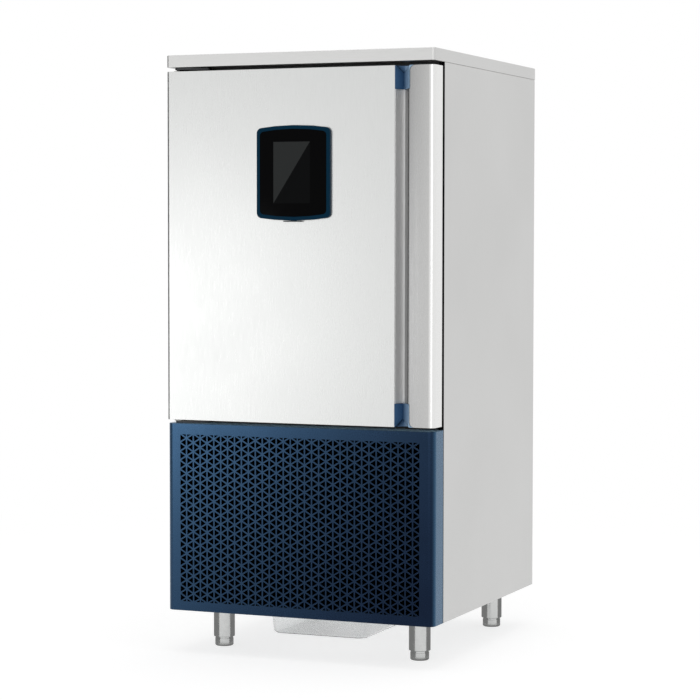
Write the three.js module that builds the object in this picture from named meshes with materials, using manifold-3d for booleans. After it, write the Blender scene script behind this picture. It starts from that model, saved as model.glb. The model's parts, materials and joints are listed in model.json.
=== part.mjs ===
// A free-standing blast chiller: an insulated chamber with a hinged door, over a machine
// compartment, on four screw feet. Millimetres, +X to the right, -Y to the front, +Z up.
// The origin is on the floor, under the middle of the whole object.

import * as THREE from 'three';
import { mergeGeometries, mergeVertices } from 'three/addons/utils/BufferGeometryUtils.js';
import Module from 'manifold-3d';

const wasm = await Module();
wasm.setup();

// ---- Driving dimensions ----

const seatGap = 0.3;              // between pieces that touch
const holeClearance = 1.5;        // round a pipe that passes through a wall

// The outside of the cabinet.
const cabinetWidth = 790;
const cabinetDepth = 778;         // from the face that the door closes on to the back
const legHeight = 119;
const lowerPanelHeight = 521;
const gapBelowDoor = 10;
const doorHeight = 960;
const gapAboveDoor = 11;
const topPanelThickness = 34;
const topPanelSheet = 1.5;
const topCornerRadius = 9;
const topEdgeRadius = 2;
const topLip = 20;                // fold under the edge of the top panel
const panelSheet = 1.2;
const foldRadius = 3;
const sideFlange = 15;
const baseSheet = 2;
const baseFlange = 24;

// The insulated chamber.
const wallInsulation = 58;
const floorInsulation = 58;
const ceilingInsulation = 60;
const linerSheet = 1;
const linerCornerRadius = 25;
const drainRadius = 14;
const drainBore = 11;
const drainX = 0;
const drainSetback = 410;         // from the cabinet's face to the drain
const drainDrop = 4;              // below the base

// The door. It stands before the cabinet by its own thickness and that of its gasket.
const doorThickness = 60;
const doorCornerRadius = 10;
const doorSkinReturn = 12;
const gasketThickness = 12;
const gasketWidth = 25;
const gasketLipWidth = 19;
const gasketLipHeight = 6;
const gasketHingeInset = 25;      // from the door's hinged side, clear of the cabinet as it swings
const gasketFreeInset = 3;        // from the door's free side to the gasket
const gasketEndInset = 4;         // from the door's top or bottom to the gasket
const gasketCornerRadius = 8;

// The handle: a groove down the door's free side, with a rounded grip beside it.
const handleSheet = 1.5;
const gripWidth = 72;
const gripCornerRadius = 12;
const gripFlat = 31;              // flat part of the grip's front, beside the corner
const gripNoseRadius = 6.5;
const gripNoseReach = 6.5;        // how far the nose hangs over the groove
const gripNoseDrop = 3;           // how far the front falls away towards the nose
const gripEndRadius = 15;
const grooveWidth = 41;
const grooveDepth = 36;
const grooveLeftRadius = 24;
const grooveRightRadius = 12;
const grooveUndercut = 19;        // how far the groove goes in behind the grip
const gripReturnReach = 26;       // how far the sheet turns back in behind the grip's front
const capLength = 62;
const capValleyDepth = 26;
const capValleyOffset = 15;
const capNotchHeight = 20;
const capLand = 1;                // flat rim beside the valley

// The hinges, at the door's left side.
const hingeInset = 24;            // from the door's left side to the pin
const hingeSetback = 30;          // from the door's front to the pin
const hingePinRadius = 6;
const hingePinLength = 28;
const hingePinClearance = 0.5;
const hingePlateThickness = 5;
const hingePlateWidth = 95;
const hingePlateRadius = 10;
const bushRadius = 10;
const bushLength = 32;
const bushFlangeRadius = 14;
const bushFlangeThickness = 2;

// The display on the door.
const bezelWidth = 216;
const bezelSideHeight = 241;
const bezelArch = 8;              // rise of the middle of the top and bottom edges
const bezelCornerRadius = 14;
const bezelProud = 10;
const bezelBevel = 2.5;
const bezelBorder = 10;
const bezelOffsetX = -9;
const bezelTopInset = 281.5;      // from the door's top to the middle of the display
const glassThickness = 3;
const glassRecess = 0.6;
const moduleWidth = 160;
const moduleHeight = 190;
const moduleDepth = 34;
const portCoverWidth = 54;
const portCoverThickness = 2.6;
const portCoverReach = 7.5;
const portCoverOffsetX = -2;

// The perforated panel below the door.
const lowerPanelSheet = 1.5;
const lowerPanelRadius = 20;
const latticeSide = 50;           // side of one triangle of the lattice
const latticeWeb = 7;             // metal between two triangular holes
const latticeSideMargin = 39;
const latticeBottomMargin = 23;
const latticeTopMargin = 28;

// The louvred panel at the back of the machine compartment.
const rearSlotWidth = 150;
const rearSlotHeight = 14;
const rearSlotPitch = 40;
const rearSlotMargin = 60;
const rearSlotColumns = 3;

// The feet.
const footInsetX = 99;
const footInsetY = 88;
const sleeveRadius = 30;
const sleeveFlangeRadius = 38;
const sleeveFlangeThickness = 4;
const cupRadius = 26;
const cupHeight = 27;
const cupEdgeRadius = 4;
const stemRadius = 19;
const stemLength = 60;
const stemClearance = 1;

// The drip tray, a catering pan of size 1/1, on two runners under the base.
const trayWidth = 325;
const trayLength = 530;
const trayDepth = 65;
const traySheet = 2.5;
const trayRim = 12;
const trayDraft = 8;              // lean of each wall, towards the bottom
const trayCornerRadius = 36;
const trayRimCornerRadius = 22;
const traySetback = 48;           // from the cabinet's face to the tray
const trayDrop = 7;               // from the base to the tray's rim
const runnerSheet = 1.5;
const runnerLedge = 10;
const runnerFlange = 15;
const runnerClearance = 1.5;
const runnerOverhang = 10;

// The racks that hold the food trays.
const rackLevels = 10;
const rackPitch = 70;
const rackSetback = 60;           // from the cabinet's face to the racks
const rackDepth = 32;             // from the chamber's wall to the side of a tray
const rackLedge = 18;
const rackSheet = 2;
const rackGuideHeight = 12;
const rackPostWidth = 20;
const rackPostInset = 50;
const rackFloorGap = 70;          // from the chamber's floor to the lowest ledge
const rackPegRadius = 5;

// The fans. A fan's motor hangs on a strap behind the plate that it blows through.
const evaporatorFanRadius = 140;
const evaporatorFanPitch = 400;
const condenserFanRadius = 140;
const fanHubRadius = 42;
const fanHubLength = 40;
const fanBladeCount = 5;
const fanBladeTilt = 22;
const fanBladeSpan = 40;          // degrees of the circle that a blade's tip covers
const fanBladeThickness = 3;
const fanPlateGap = 8;            // from the plate to the rotor
const motorRadius = 46;
const motorLength = 50;
const strapWidth = 22;
const strapSheet = 3;
const strapMargin = 12;           // from the rotor's tips to the strap's legs

// The fan panel and the evaporator, behind the racks.
const fanPanelSetback = 25;       // from the racks to the panel
const fanPanelSheet = 1.5;
const fanPanelSideGap = 30;
const fanSlotCount = 12;
const fanSlotInner = 52;
const fanSlotShare = 0.6;         // open share of the ring of slots
const evaporatorWidth = 560;
const evaporatorDepth = 95;
const evaporatorFins = 16;
const evaporatorRearGap = 6;
const evaporatorFloorGap = 40;
const evaporatorTopGap = 60;
const fanRearGap = 30;            // from the fans' straps to the evaporator
const finThickness = 5;
const finDepthShare = 0.7;

// The machine compartment.
const condenserWidth = 480;
const condenserDepth = 85;
const condenserHeight = 410;
const condenserFins = 20;
const condenserSideGap = 45;
const condenserSetback = 20;
const shroudDepth = 50;
const shroudSheet = 1.5;
const shroudHoleRadius = 146;
const compressorRadius = 112;
const compressorHeight = 280;
const compressorSideGap = 175;    // from the right wall to its middle
const compressorRearGap = 250;    // from the back wall to its middle
const compressorFootWidth = 250;
const compressorFootSheet = 6;
const dischargeHeightShare = 0.75;
const suctionHeightShare = 0.4;
const compressorPadRadius = 14;
const compressorPadHeight = 18;
const portLength = 18;            // of the stub that a pipe meets
const receiverRadius = 58;
const receiverHeight = 230;
const receiverSideGap = 120;
const receiverRearGap = 110;
const drierRadius = 22;
const drierLength = 120;
const controlBoxWidth = 115;
const controlBoxLength = 200;
const controlBoxHeight = 210;
const controlBoxSetback = 40;
const controlBoxLift = 220;
const suctionPipeRadius = 9;
const dischargePipeRadius = 7;
const liquidPipeRadius = 5;
const pipeBendRadius = 22;
const suctionInletX = 235;
const liquidInletX = -180;
const pipeWallGap = 18;           // from a wall to the middle of a pipe beside it
const pipeCeilingGap = 60;        // from the chamber's underside to the highest pipes
const dischargeX = 60;
const outletHeight = 70;          // of the condenser's outlet above the base
const glandRadius = 12;
const glandBore = 5;
const glandLength = 22;
const glandInsetX = 180;
const glandInsetY = 60;
const probeHeight = 520;          // of the probe's gland above the chamber's floor

const roundSides = 15;
const smallSides = 12;
const pipeSides = 6;

// ---- Places that follow from the sizes ----

const frontProjection = gasketThickness + doorThickness;
const overallDepth = cabinetDepth + frontProjection + bezelProud;
const halfWidth = cabinetWidth / 2;
const backY = overallDepth / 2;
const faceY = backY - cabinetDepth;
const doorFrontY = faceY - frontProjection;

const baseTopZ = legHeight + baseSheet;
const lowerTopZ = legHeight + lowerPanelHeight;
const doorBottomZ = lowerTopZ + gapBelowDoor;
const bodyTopZ = doorBottomZ + doorHeight + gapAboveDoor;

const innerHalfWidth = halfWidth - panelSheet - seatGap;
const innerFrontY = faceY + panelSheet + seatGap;
const innerBackY = backY - panelSheet - seatGap;

const chamberHalfWidth = innerHalfWidth - wallInsulation - seatGap - linerSheet;
const chamberRearY = innerBackY - wallInsulation - seatGap - linerSheet;
const chamberFloorZ = lowerTopZ + floorInsulation + seatGap + linerSheet;
const chamberCeilingZ = bodyTopZ - seatGap - ceilingInsulation - seatGap - linerSheet;

const hingeX = -halfWidth + hingeInset;
const drainY = faceY + drainSetback;
const rackFrontY = faceY + rackSetback;
const evaporatorBackY = chamberRearY - evaporatorRearGap;
const evaporatorFrontY = evaporatorBackY - evaporatorDepth;
const fanStack = fanPlateGap + fanHubLength + seatGap + motorLength + strapSheet / 2;
const fanPanelY = evaporatorFrontY - fanRearGap - fanStack - fanPanelSheet;
const rackLength = fanPanelY - fanPanelSetback - rackFrontY;
const evaporatorPipeY = evaporatorBackY - evaporatorDepth * (1 - finDepthShare) / 2;
const evaporatorBottomZ = chamberFloorZ + evaporatorFloorGap;
const evaporatorHeight = chamberCeilingZ - evaporatorTopGap - evaporatorBottomZ;
const chamberMidZ = (chamberFloorZ + chamberCeilingZ) / 2;
const condenserMidX = -innerHalfWidth + condenserSideGap + condenserWidth / 2;
const condenserFrontY = innerFrontY + condenserSetback;
const condenserBackY = condenserFrontY + condenserDepth;
const shroudBackY = condenserBackY + seatGap + shroudDepth;
const condenserPipeY = condenserBackY - condenserDepth * (1 - finDepthShare) / 2;
const compressorX = innerHalfWidth - compressorSideGap;
const compressorY = innerBackY - compressorRearGap;
const receiverX = -innerHalfWidth + receiverSideGap;
const receiverY = innerBackY - receiverRearGap;

// ---- Materials ----

const finish = (color, roughness, metalness) => (
  new THREE.MeshStandardMaterial({ color, roughness, metalness })
);
const brushedSteel = finish(0xd3d4d3, 0.34, 0.9);
const satinSteel = finish(0xc9cac9, 0.45, 0.85);
const polishedSteel = finish(0xbfc2c4, 0.18, 1);
const galvanisedSteel = finish(0xa4a8aa, 0.5, 0.8);
const navyPaint = finish(0x1c3458, 0.45, 0.1);
const bluePlastic = finish(0x35577c, 0.4, 0);
const bezelBlue = finish(0x05304f, 0.35, 0);
const blackGlass = finish(0x050507, 0.06, 0);
const darkPlastic = finish(0x1b1c1e, 0.55, 0);
const blackPaint = finish(0x17181a, 0.4, 0.3);
const yellowFoam = finish(0xd8c48a, 0.95, 0);
const greyRubber = finish(0x2b2c2e, 0.8, 0);
const whiteNylon = finish(0xdedcd4, 0.5, 0);
const clearPlastic = finish(0xe9edee, 0.3, 0);
const aluminiumFins = finish(0xb4b8ba, 0.5, 0.8);
const copperTube = finish(0xb4693f, 0.35, 0.9);

// ---- Solids: joined, cut and turned into meshes ----

function solid(geometry) {
  const bare = geometry.clone();
  bare.deleteAttribute('normal');
  bare.deleteAttribute('uv');
  const merged = mergeVertices(bare, 1e-3);
  return new wasm.Manifold(new wasm.Mesh({
    numProp: 3,
    vertProperties: merged.attributes.position.array,
    triVerts: new Uint32Array(merged.index.array),
  }));
}

function join(...geometries) {
  return geometries.map(toSolid).reduce((whole, part) => whole.add(part));
}

function cut(geometry, ...tools) {
  return tools.map(toSolid).reduce((rest, tool) => rest.subtract(tool), toSolid(geometry));
}

function toSolid(shape) {
  return shape.isBufferGeometry ? solid(shape) : shape;
}

function toGeometry(shape) {
  if (shape.isBufferGeometry) return shape;
  const { vertProperties, triVerts } = shape.getMesh();
  const geometry = new THREE.BufferGeometry();
  geometry.setAttribute('position', new THREE.BufferAttribute(vertProperties, 3));
  geometry.setIndex(new THREE.BufferAttribute(triVerts, 1));
  return geometry;
}

function place(parent, name, shape, material, position = [0, 0, 0]) {
  const geometry = toGeometry(shape);
  geometry.computeVertexNormals();
  const mesh = new THREE.Mesh(geometry, material);
  mesh.name = name;
  mesh.position.set(...position);
  parent.add(mesh);
  return mesh;
}

// ---- Outlines ----

// A corner is [x, y] or [x, y, radius]. The ends of an open path stay sharp.
function roundCorners(corners, closed = true) {
  const count = corners.length;
  const points = [];
  corners.forEach(([x, y, radius = 0], index) => {
    const corner = new THREE.Vector2(x, y);
    const atEnd = !closed && (index === 0 || index === count - 1);
    if (radius <= 0 || atEnd) {
      points.push(corner);
      return;
    }
    const before = new THREE.Vector2(...corners[(index + count - 1) % count].slice(0, 2));
    const after = new THREE.Vector2(...corners[(index + 1) % count].slice(0, 2));
    const toBefore = before.sub(corner).normalize();
    const toAfter = after.sub(corner).normalize();
    const halfAngle = Math.acos(THREE.MathUtils.clamp(toBefore.dot(toAfter), -1, 1)) / 2;
    const middle = toBefore.clone().add(toAfter).normalize();
    const centre = middle.multiplyScalar(radius / Math.sin(halfAngle)).add(corner);
    const reach = radius / Math.tan(halfAngle);
    const start = toBefore.multiplyScalar(reach).add(corner).sub(centre);
    const end = toAfter.multiplyScalar(reach).add(corner).sub(centre);
    const turn = Math.atan2(start.cross(end), start.dot(end));
    const steps = Math.max(1, Math.round(Math.abs(turn) / (Math.PI / 8)));
    for (let step = 0; step <= steps; step += 1) {
      const spoke = start.clone().rotateAround(new THREE.Vector2(), turn * step / steps);
      points.push(spoke.add(centre));
    }
  });
  return points;
}

function outline(corners, holes = []) {
  const shape = new THREE.Shape(roundCorners(corners));
  shape.holes = holes.map((hole) => new THREE.Path(roundCorners(hole)));
  return shape;
}

// The section of a folded sheet: a path through the middle of the metal, thickened both ways.
function sheetOutline(corners, thickness) {
  const path = roundCorners(corners, false);
  const side = (sign) => path.map((point, index) => {
    const before = path[Math.max(index - 1, 0)];
    const after = path[Math.min(index + 1, path.length - 1)];
    const into = point.clone().sub(index > 0 ? before : point).normalize();
    const out = after.clone().sub(index < path.length - 1 ? point : after).normalize();
    const along = into.clone().add(out).normalize();
    const half = thickness / 2 / Math.max(along.dot(index > 0 ? into : out), 0.5);
    return new THREE.Vector2(-along.y, along.x).multiplyScalar(sign * half).add(point);
  });
  return new THREE.Shape([...side(1), ...side(-1).reverse()]);
}

function rectangle(halfX, halfY, radius = 0, [midX, midY] = [0, 0]) {
  return [
    [midX - halfX, midY - halfY, radius],
    [midX + halfX, midY - halfY, radius],
    [midX + halfX, midY + halfY, radius],
    [midX - halfX, midY + halfY, radius],
  ];
}

// ---- Geometries ----

function block([x0, x1], [y0, y1], [z0, z1]) {
  const geometry = new THREE.BoxGeometry(x1 - x0, y1 - y0, z1 - z0);
  return geometry.translate((x0 + x1) / 2, (y0 + y1) / 2, (z0 + z1) / 2);
}

// A plan outline (X, Y) raised along Z.
function extrudeUp(shape, z0, z1) {
  const geometry = new THREE.ExtrudeGeometry(shape, { depth: z1 - z0, bevelEnabled: false });
  return geometry.translate(0, 0, z0);
}

// A front outline (X, Z) carried along Y.
function extrudeBack(shape, y0, y1, bevel = 0) {
  const geometry = new THREE.ExtrudeGeometry(shape, {
    depth: y1 - y0 - 2 * bevel,
    bevelEnabled: bevel > 0,
    bevelThickness: bevel,
    bevelSize: bevel,
    bevelOffset: -bevel,
    bevelSegments: 2,
  });
  return geometry.rotateX(Math.PI / 2).translate(0, y1 - bevel, 0);
}

// A side outline (Y, Z) carried along X.
function extrudeAcross(shape, x0, x1) {
  const geometry = new THREE.ExtrudeGeometry(shape, { depth: x1 - x0, bevelEnabled: false });
  const turn = new THREE.Matrix4().makeBasis(
    new THREE.Vector3(0, 1, 0),
    new THREE.Vector3(0, 0, 1),
    new THREE.Vector3(1, 0, 0),
  );
  return geometry.applyMatrix4(turn).translate(x0, 0, 0);
}

// A turned piece about Z. Its profile [radius, z] keeps the metal on its left.
function turned(profile, sides = roundSides) {
  const points = profile.map(([radius, z]) => new THREE.Vector2(radius, z));
  return new THREE.LatheGeometry(points, sides).rotateX(Math.PI / 2);
}

function rod(radius, z0, z1, sides = smallSides) {
  return turned([[0, z0], [radius, z0], [radius, z1], [0, z1]], sides);
}

function polygon(radius, sides) {
  const points = [];
  for (let side = 0; side < sides; side += 1) {
    const angle = 2 * Math.PI * side / sides;
    points.push(new THREE.Vector2(radius * Math.cos(angle), radius * Math.sin(angle)));
  }
  return new THREE.Shape(points);
}

// A path whose equal steps fall on its own points, so that its bends get most of them.
class PointPath extends THREE.Curve {
  constructor(points) {
    super();
    this.points = points;
  }

  getPoint(t) {
    const along = THREE.MathUtils.clamp(t, 0, 1) * (this.points.length - 1);
    const index = Math.min(Math.floor(along), this.points.length - 2);
    return this.points[index].clone().lerp(this.points[index + 1], along - index);
  }

  getUtoTmapping(share) {
    return share;
  }
}

// A pipe through the points, with a bend at each point between its ends.
function pipe(route, radius) {
  const corners = route.map((corner) => new THREE.Vector3(...corner));
  const points = [corners[0]];
  for (let index = 1; index < corners.length - 1; index += 1) {
    const corner = corners[index];
    const back = corners[index - 1].clone().sub(corner).setLength(pipeBendRadius);
    const ahead = corners[index + 1].clone().sub(corner).setLength(pipeBendRadius);
    const bend = new THREE.QuadraticBezierCurve3(back.add(corner), corner, ahead.add(corner));
    points.push(...bend.getPoints(3));
  }
  points.push(corners.at(-1));
  return new THREE.ExtrudeGeometry(polygon(radius, pipeSides), {
    steps: points.length - 1,
    extrudePath: new PointPath(points),
  });
}

// A closed skin over a stack of rings of equal count, with a lid on its first and last ring.
function ringSkin(rings) {
  const count = rings[0].length;
  const positions = rings.flat().flatMap(({ x, y, z }) => [x, y, z]);
  const index = [];
  for (let ring = 0; ring < rings.length - 1; ring += 1) {
    for (let step = 0; step < count; step += 1) {
      const a = ring * count + step;
      const b = ring * count + (step + 1) % count;
      index.push(a, b, b + count, a, b + count, a + count);
    }
  }
  const lastRing = (rings.length - 1) * count;
  for (let step = 1; step < count - 1; step += 1) {
    index.push(0, step + 1, step);
    index.push(lastRing, lastRing + step, lastRing + step + 1);
  }
  const geometry = new THREE.BufferGeometry();
  geometry.setAttribute('position', new THREE.Float32BufferAttribute(positions, 3));
  geometry.setIndex(index);
  return geometry;
}

// ---- Cabinet shell ----

function sidePanel() {
  const middle = halfWidth - panelSheet / 2;
  const section = sheetOutline([
    [halfWidth - sideFlange, faceY + panelSheet / 2],
    [middle, faceY + panelSheet / 2, foldRadius],
    [middle, backY - panelSheet / 2, foldRadius],
    [halfWidth - sideFlange, backY - panelSheet / 2],
  ], panelSheet);
  return extrudeUp(section, 0, bodyTopZ - seatGap - legHeight);
}

function topOutline(inset) {
  const right = halfWidth - inset;
  const front = doorFrontY + inset;
  const back = backY - inset;
  const radius = topCornerRadius - inset;
  return [[-right, front, radius], [right, front, radius], [right, back], [-right, back]];
}

// A shallow tray turned over, with a lip folded in round its opening.
function topPanel() {
  const slab = new THREE.ExtrudeGeometry(outline(topOutline(0)), {
    depth: topPanelThickness - 2 * topEdgeRadius,
    bevelThickness: topEdgeRadius,
    bevelSize: topEdgeRadius,
    bevelOffset: -topEdgeRadius,
    bevelSegments: 2,
  }).translate(0, 0, topEdgeRadius);
  const hollow = extrudeUp(
    outline(topOutline(topPanelSheet)),
    topPanelSheet,
    topPanelThickness - topPanelSheet,
  );
  const mouth = block(
    [-halfWidth + topLip, halfWidth - topLip],
    [faceY + topLip, backY - topLip],
    [-1, 2 * topPanelSheet],
  );
  return cut(slab, hollow, mouth);
}

function rearOutline(z0, z1) {
  return rectangle(halfWidth - sideFlange - seatGap, (z1 - z0) / 2, 0, [0, (z0 + z1) / 2]);
}

function rearPanel() {
  const plate = outline(rearOutline(lowerTopZ + seatGap, bodyTopZ - seatGap));
  return extrudeBack(plate, backY - panelSheet, backY);
}

function rearGrille() {
  const columnPitch = (cabinetWidth - rearSlotMargin) / rearSlotColumns;
  const rows = Math.floor((lowerPanelHeight - 2 * rearSlotMargin) / rearSlotPitch) + 1;
  const middleZ = legHeight + lowerPanelHeight / 2;
  const slot = block(
    [-rearSlotWidth / 2, rearSlotWidth / 2],
    [backY - 2 * panelSheet, backY + panelSheet],
    [-rearSlotHeight / 2, rearSlotHeight / 2],
  );
  const slots = [];
  for (let column = 0; column < rearSlotColumns; column += 1) {
    for (let row = 0; row < rows; row += 1) {
      const x = (column - (rearSlotColumns - 1) / 2) * columnPitch;
      const z = middleZ + (row - (rows - 1) / 2) * rearSlotPitch;
      slots.push(slot.clone().translate(x, 0, z));
    }
  }
  const plate = extrudeBack(outline(rearOutline(legHeight, lowerTopZ)), backY - panelSheet, backY);
  return cut(plate, mergeGeometries(slots));
}

// The plan of what fits between the side panels, with its corners clear of their folds.
function insideOutline() {
  const halfDepth = (innerBackY - innerFrontY) / 2;
  const middle = [0, (innerBackY + innerFrontY) / 2];
  return outline(rectangle(innerHalfWidth, halfDepth, foldRadius, middle));
}

function basePlate() {
  const tray = extrudeUp(insideOutline(), legHeight, baseTopZ + baseFlange);
  const hollow = block(
    [-innerHalfWidth + baseSheet, innerHalfWidth - baseSheet],
    [innerFrontY + baseSheet, innerBackY - baseSheet],
    [baseTopZ, baseTopZ + 2 * baseFlange],
  );
  const drainHole = rod(drainRadius + holeClearance, legHeight - 1, baseTopZ + 1)
    .translate(drainX, drainY, 0);
  return cut(tray, hollow, drainHole);
}

function chamberSpace(inset, z0, z1, y0 = faceY) {
  const right = chamberHalfWidth - inset;
  const rear = chamberRearY - inset;
  const radius = linerCornerRadius - inset;
  return extrudeUp(outline([
    [-right, y0],
    [right, y0],
    [right, rear, radius],
    [-right, rear, radius],
  ]), z0, z1);
}

function pipeHoles(z0, z1, clearance) {
  const suction = rod(suctionPipeRadius + clearance, z0, z1);
  const liquid = rod(liquidPipeRadius + clearance, z0, z1);
  return [
    suction.translate(suctionInletX, evaporatorPipeY, 0),
    liquid.translate(liquidInletX, evaporatorPipeY, 0),
  ];
}

// Foam round the chamber, and up through the top panel's opening to fill it.
function insulation() {
  const core = extrudeUp(insideOutline(), lowerTopZ, bodyTopZ - seatGap);
  const neck = block(
    [-halfWidth + topLip + seatGap, halfWidth - topLip - seatGap],
    [faceY + topLip + seatGap, backY - topLip - seatGap],
    [bodyTopZ - 1, bodyTopZ + topPanelThickness / 2],
  );
  const crown = extrudeUp(
    outline(topOutline(topPanelSheet + seatGap)),
    bodyTopZ + topPanelSheet + seatGap,
    bodyTopZ + topPanelThickness - topPanelSheet - seatGap,
  );
  const linerSpace = chamberSpace(
    -linerSheet - seatGap,
    chamberFloorZ - linerSheet - seatGap,
    chamberCeilingZ + linerSheet + seatGap,
  );
  const drainHole = rod(drainRadius + holeClearance, lowerTopZ - 1, chamberFloorZ)
    .translate(drainX, drainY, 0);
  const holes = pipeHoles(lowerTopZ - 1, chamberFloorZ, holeClearance);
  return cut(join(core, neck, crown), linerSpace, drainHole, ...holes);
}

function chamberLiner() {
  const outside = chamberSpace(
    -linerSheet,
    chamberFloorZ - linerSheet,
    chamberCeilingZ + linerSheet,
  );
  const inside = chamberSpace(0, chamberFloorZ, chamberCeilingZ, faceY - 1);
  const drainHole = rod(drainBore, chamberFloorZ - 2 * linerSheet, chamberFloorZ + 1)
    .translate(drainX, drainY, 0);
  const holes = pipeHoles(chamberFloorZ - 2 * linerSheet, chamberFloorZ + 1, holeClearance);
  return cut(outside, inside, drainHole, ...holes);
}

// The dark surround that the door's gasket closes on. It keeps the cold off the outer panels.
function frontFrame() {
  const bottom = lowerTopZ;
  const top = bodyTopZ - seatGap;
  const holeHalfWidth = chamberHalfWidth + linerSheet + seatGap;
  const holeHalfHeight = (chamberCeilingZ - chamberFloorZ) / 2 + linerSheet + seatGap;
  const plate = outline(
    rectangle(halfWidth - sideFlange - seatGap, (top - bottom) / 2, 0, [0, (top + bottom) / 2]),
    [rectangle(holeHalfWidth, holeHalfHeight, 0, [0, chamberMidZ])],
  );
  return extrudeBack(plate, faceY, faceY + panelSheet);
}

// ---- Perforated lower panel ----

// A field of triangular holes on an equilateral lattice with upright lines, fitted to whole
// columns and rows. Every other column is half a row up, so it ends in half triangles.
function triangleField(width, height, depth) {
  const columns = Math.round(width / (latticeSide * Math.sqrt(3) / 2));
  const rows = Math.round(height / latticeSide);
  const step = width / columns;
  const rise = height / rows;
  const inset = latticeWeb / 2;
  const sideInset = inset * Math.sqrt(3);
  const triangle = new THREE.Shape([
    new THREE.Vector2(inset, sideInset - rise / 2),
    new THREE.Vector2(step - 2 * inset, 0),
    new THREE.Vector2(inset, rise / 2 - sideInset),
  ]);
  const pointingRight = extrudeBack(triangle, 0, depth);
  const pointingLeft = pointingRight.clone().rotateY(Math.PI).translate(step, 0, 0);
  const holes = [];
  for (let column = 0; column < columns; column += 1) {
    const x = column * step - width / 2;
    for (let row = 0; row <= rows; row += 1) {
      const z = row * rise - height / 2;
      const upShift = column % 2 === 0 ? rise / 2 : 0;
      holes.push(pointingRight.clone().translate(x, 0, z + upShift));
      holes.push(pointingLeft.clone().translate(x, 0, z + rise / 2 - upShift));
    }
  }
  const frame = block(
    [-width / 2, width / 2],
    [-1, depth + 1],
    [inset - height / 2, height / 2 - inset],
  );
  return solid(mergeGeometries(holes)).intersect(solid(frame));
}

function lowerFrontPanel() {
  const shellOutline = (inset, back) => outline([
    [inset - halfWidth, inset, lowerPanelRadius - inset],
    [halfWidth - inset, inset, lowerPanelRadius - inset],
    [halfWidth - inset, back],
    [inset - halfWidth, back],
  ]);
  const shell = extrudeUp(shellOutline(0, frontProjection - seatGap), 0, lowerPanelHeight);
  const hollow = extrudeUp(
    shellOutline(lowerPanelSheet, frontProjection + 1),
    lowerPanelSheet,
    lowerPanelHeight - lowerPanelSheet,
  );
  const fieldWidth = cabinetWidth - 2 * latticeSideMargin;
  const fieldHeight = lowerPanelHeight - latticeBottomMargin - latticeTopMargin;
  const fieldMiddle = latticeBottomMargin + fieldHeight / 2;
  const field = triangleField(fieldWidth, fieldHeight, 2 * lowerPanelSheet + 1)
    .translate([0, -1, fieldMiddle]);
  return cut(shell, hollow, field);
}

// ---- Feet, drip tray and its runners ----

function footSleeve() {
  const top = legHeight - seatGap;
  const flangeZ = top - sleeveFlangeThickness;
  const boreRadius = stemRadius + stemClearance;
  return turned([
    [0, flangeZ],
    [boreRadius, flangeZ],
    [boreRadius, cupHeight],
    [sleeveRadius, cupHeight],
    [sleeveRadius, flangeZ],
    [sleeveFlangeRadius, flangeZ],
    [sleeveFlangeRadius, top],
    [0, top],
  ]);
}

function footCup() {
  const shoulder = cupHeight - seatGap;
  return turned([
    [0, 0],
    [cupRadius - cupEdgeRadius, 0],
    [cupRadius - cupEdgeRadius * 0.3, cupEdgeRadius * 0.3],
    [cupRadius, cupEdgeRadius],
    [cupRadius, shoulder],
    [stemRadius, shoulder],
    [stemRadius, shoulder + stemLength],
    [0, shoulder + stemLength],
  ]);
}

function dripTray() {
  const ring = (inset, radius, z) => (
    roundCorners(rectangle(trayWidth / 2 - inset, trayLength / 2 - inset, radius))
      .map(({ x, y }) => new THREE.Vector3(x, y, z))
  );
  const insideRadius = trayCornerRadius - traySheet;
  return ringSkin([
    ring(trayRim + trayDraft, trayCornerRadius - trayDraft, 0),
    ring(trayRim, trayCornerRadius, trayDepth - traySheet),
    ring(0, trayRimCornerRadius, trayDepth - traySheet),
    ring(0, trayRimCornerRadius, trayDepth),
    ring(trayRim + traySheet, insideRadius, trayDepth),
    ring(trayRim + trayDraft + traySheet, insideRadius - trayDraft, traySheet),
  ]);
}

// A Z-shaped rail, the right one of the pair.
function trayRunner() {
  const webX = trayWidth / 2 + runnerClearance + runnerSheet / 2;
  const flangeZ = -seatGap - runnerSheet / 2;
  const ledgeZ = -trayDrop - traySheet - seatGap - runnerSheet / 2;
  const section = sheetOutline([
    [webX + runnerFlange, flangeZ],
    [webX, flangeZ],
    [webX, ledgeZ],
    [webX - runnerLedge, ledgeZ],
  ], runnerSheet);
  return extrudeBack(section, -runnerOverhang, trayLength + runnerOverhang);
}

// ---- Chamber fittings ----

// Ledges with an upright guide, on two posts that peg to the chamber's right wall.
// Local frame: x from the wall inwards is negative, z from the chamber's floor.
function trayRack() {
  const guideX = -rackDepth + rackSheet / 2;
  const ledgeSection = sheetOutline([
    [guideX, rackGuideHeight],
    [guideX, rackSheet / 2],
    [-rackDepth - rackLedge, rackSheet / 2],
  ], rackSheet);
  const ledges = [];
  for (let level = 0; level < rackLevels; level += 1) {
    const ledge = extrudeBack(ledgeSection, 0, rackLength);
    ledges.push(ledge.translate(0, 0, rackFloorGap + level * rackPitch));
  }
  const postX = -rackDepth + rackSheet;
  const postTop = rackFloorGap + (rackLevels - 1) * rackPitch + rackGuideHeight;
  const fittings = [];
  for (const postY of [rackPostInset, rackLength - rackPostInset]) {
    fittings.push(block(
      [postX - rackSheet / 2, postX + rackSheet],
      [postY - rackPostWidth / 2, postY + rackPostWidth / 2],
      [rackFloorGap - rackPitch / 2, postTop + rackPitch / 2],
    ));
    for (const pegZ of [rackFloorGap, postTop]) {
      const peg = rod(rackPegRadius, postX, -seatGap, pipeSides).rotateY(Math.PI / 2);
      fittings.push(peg.translate(0, postY, pegZ));
    }
  }
  return join(...ledges, ...fittings);
}

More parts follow.
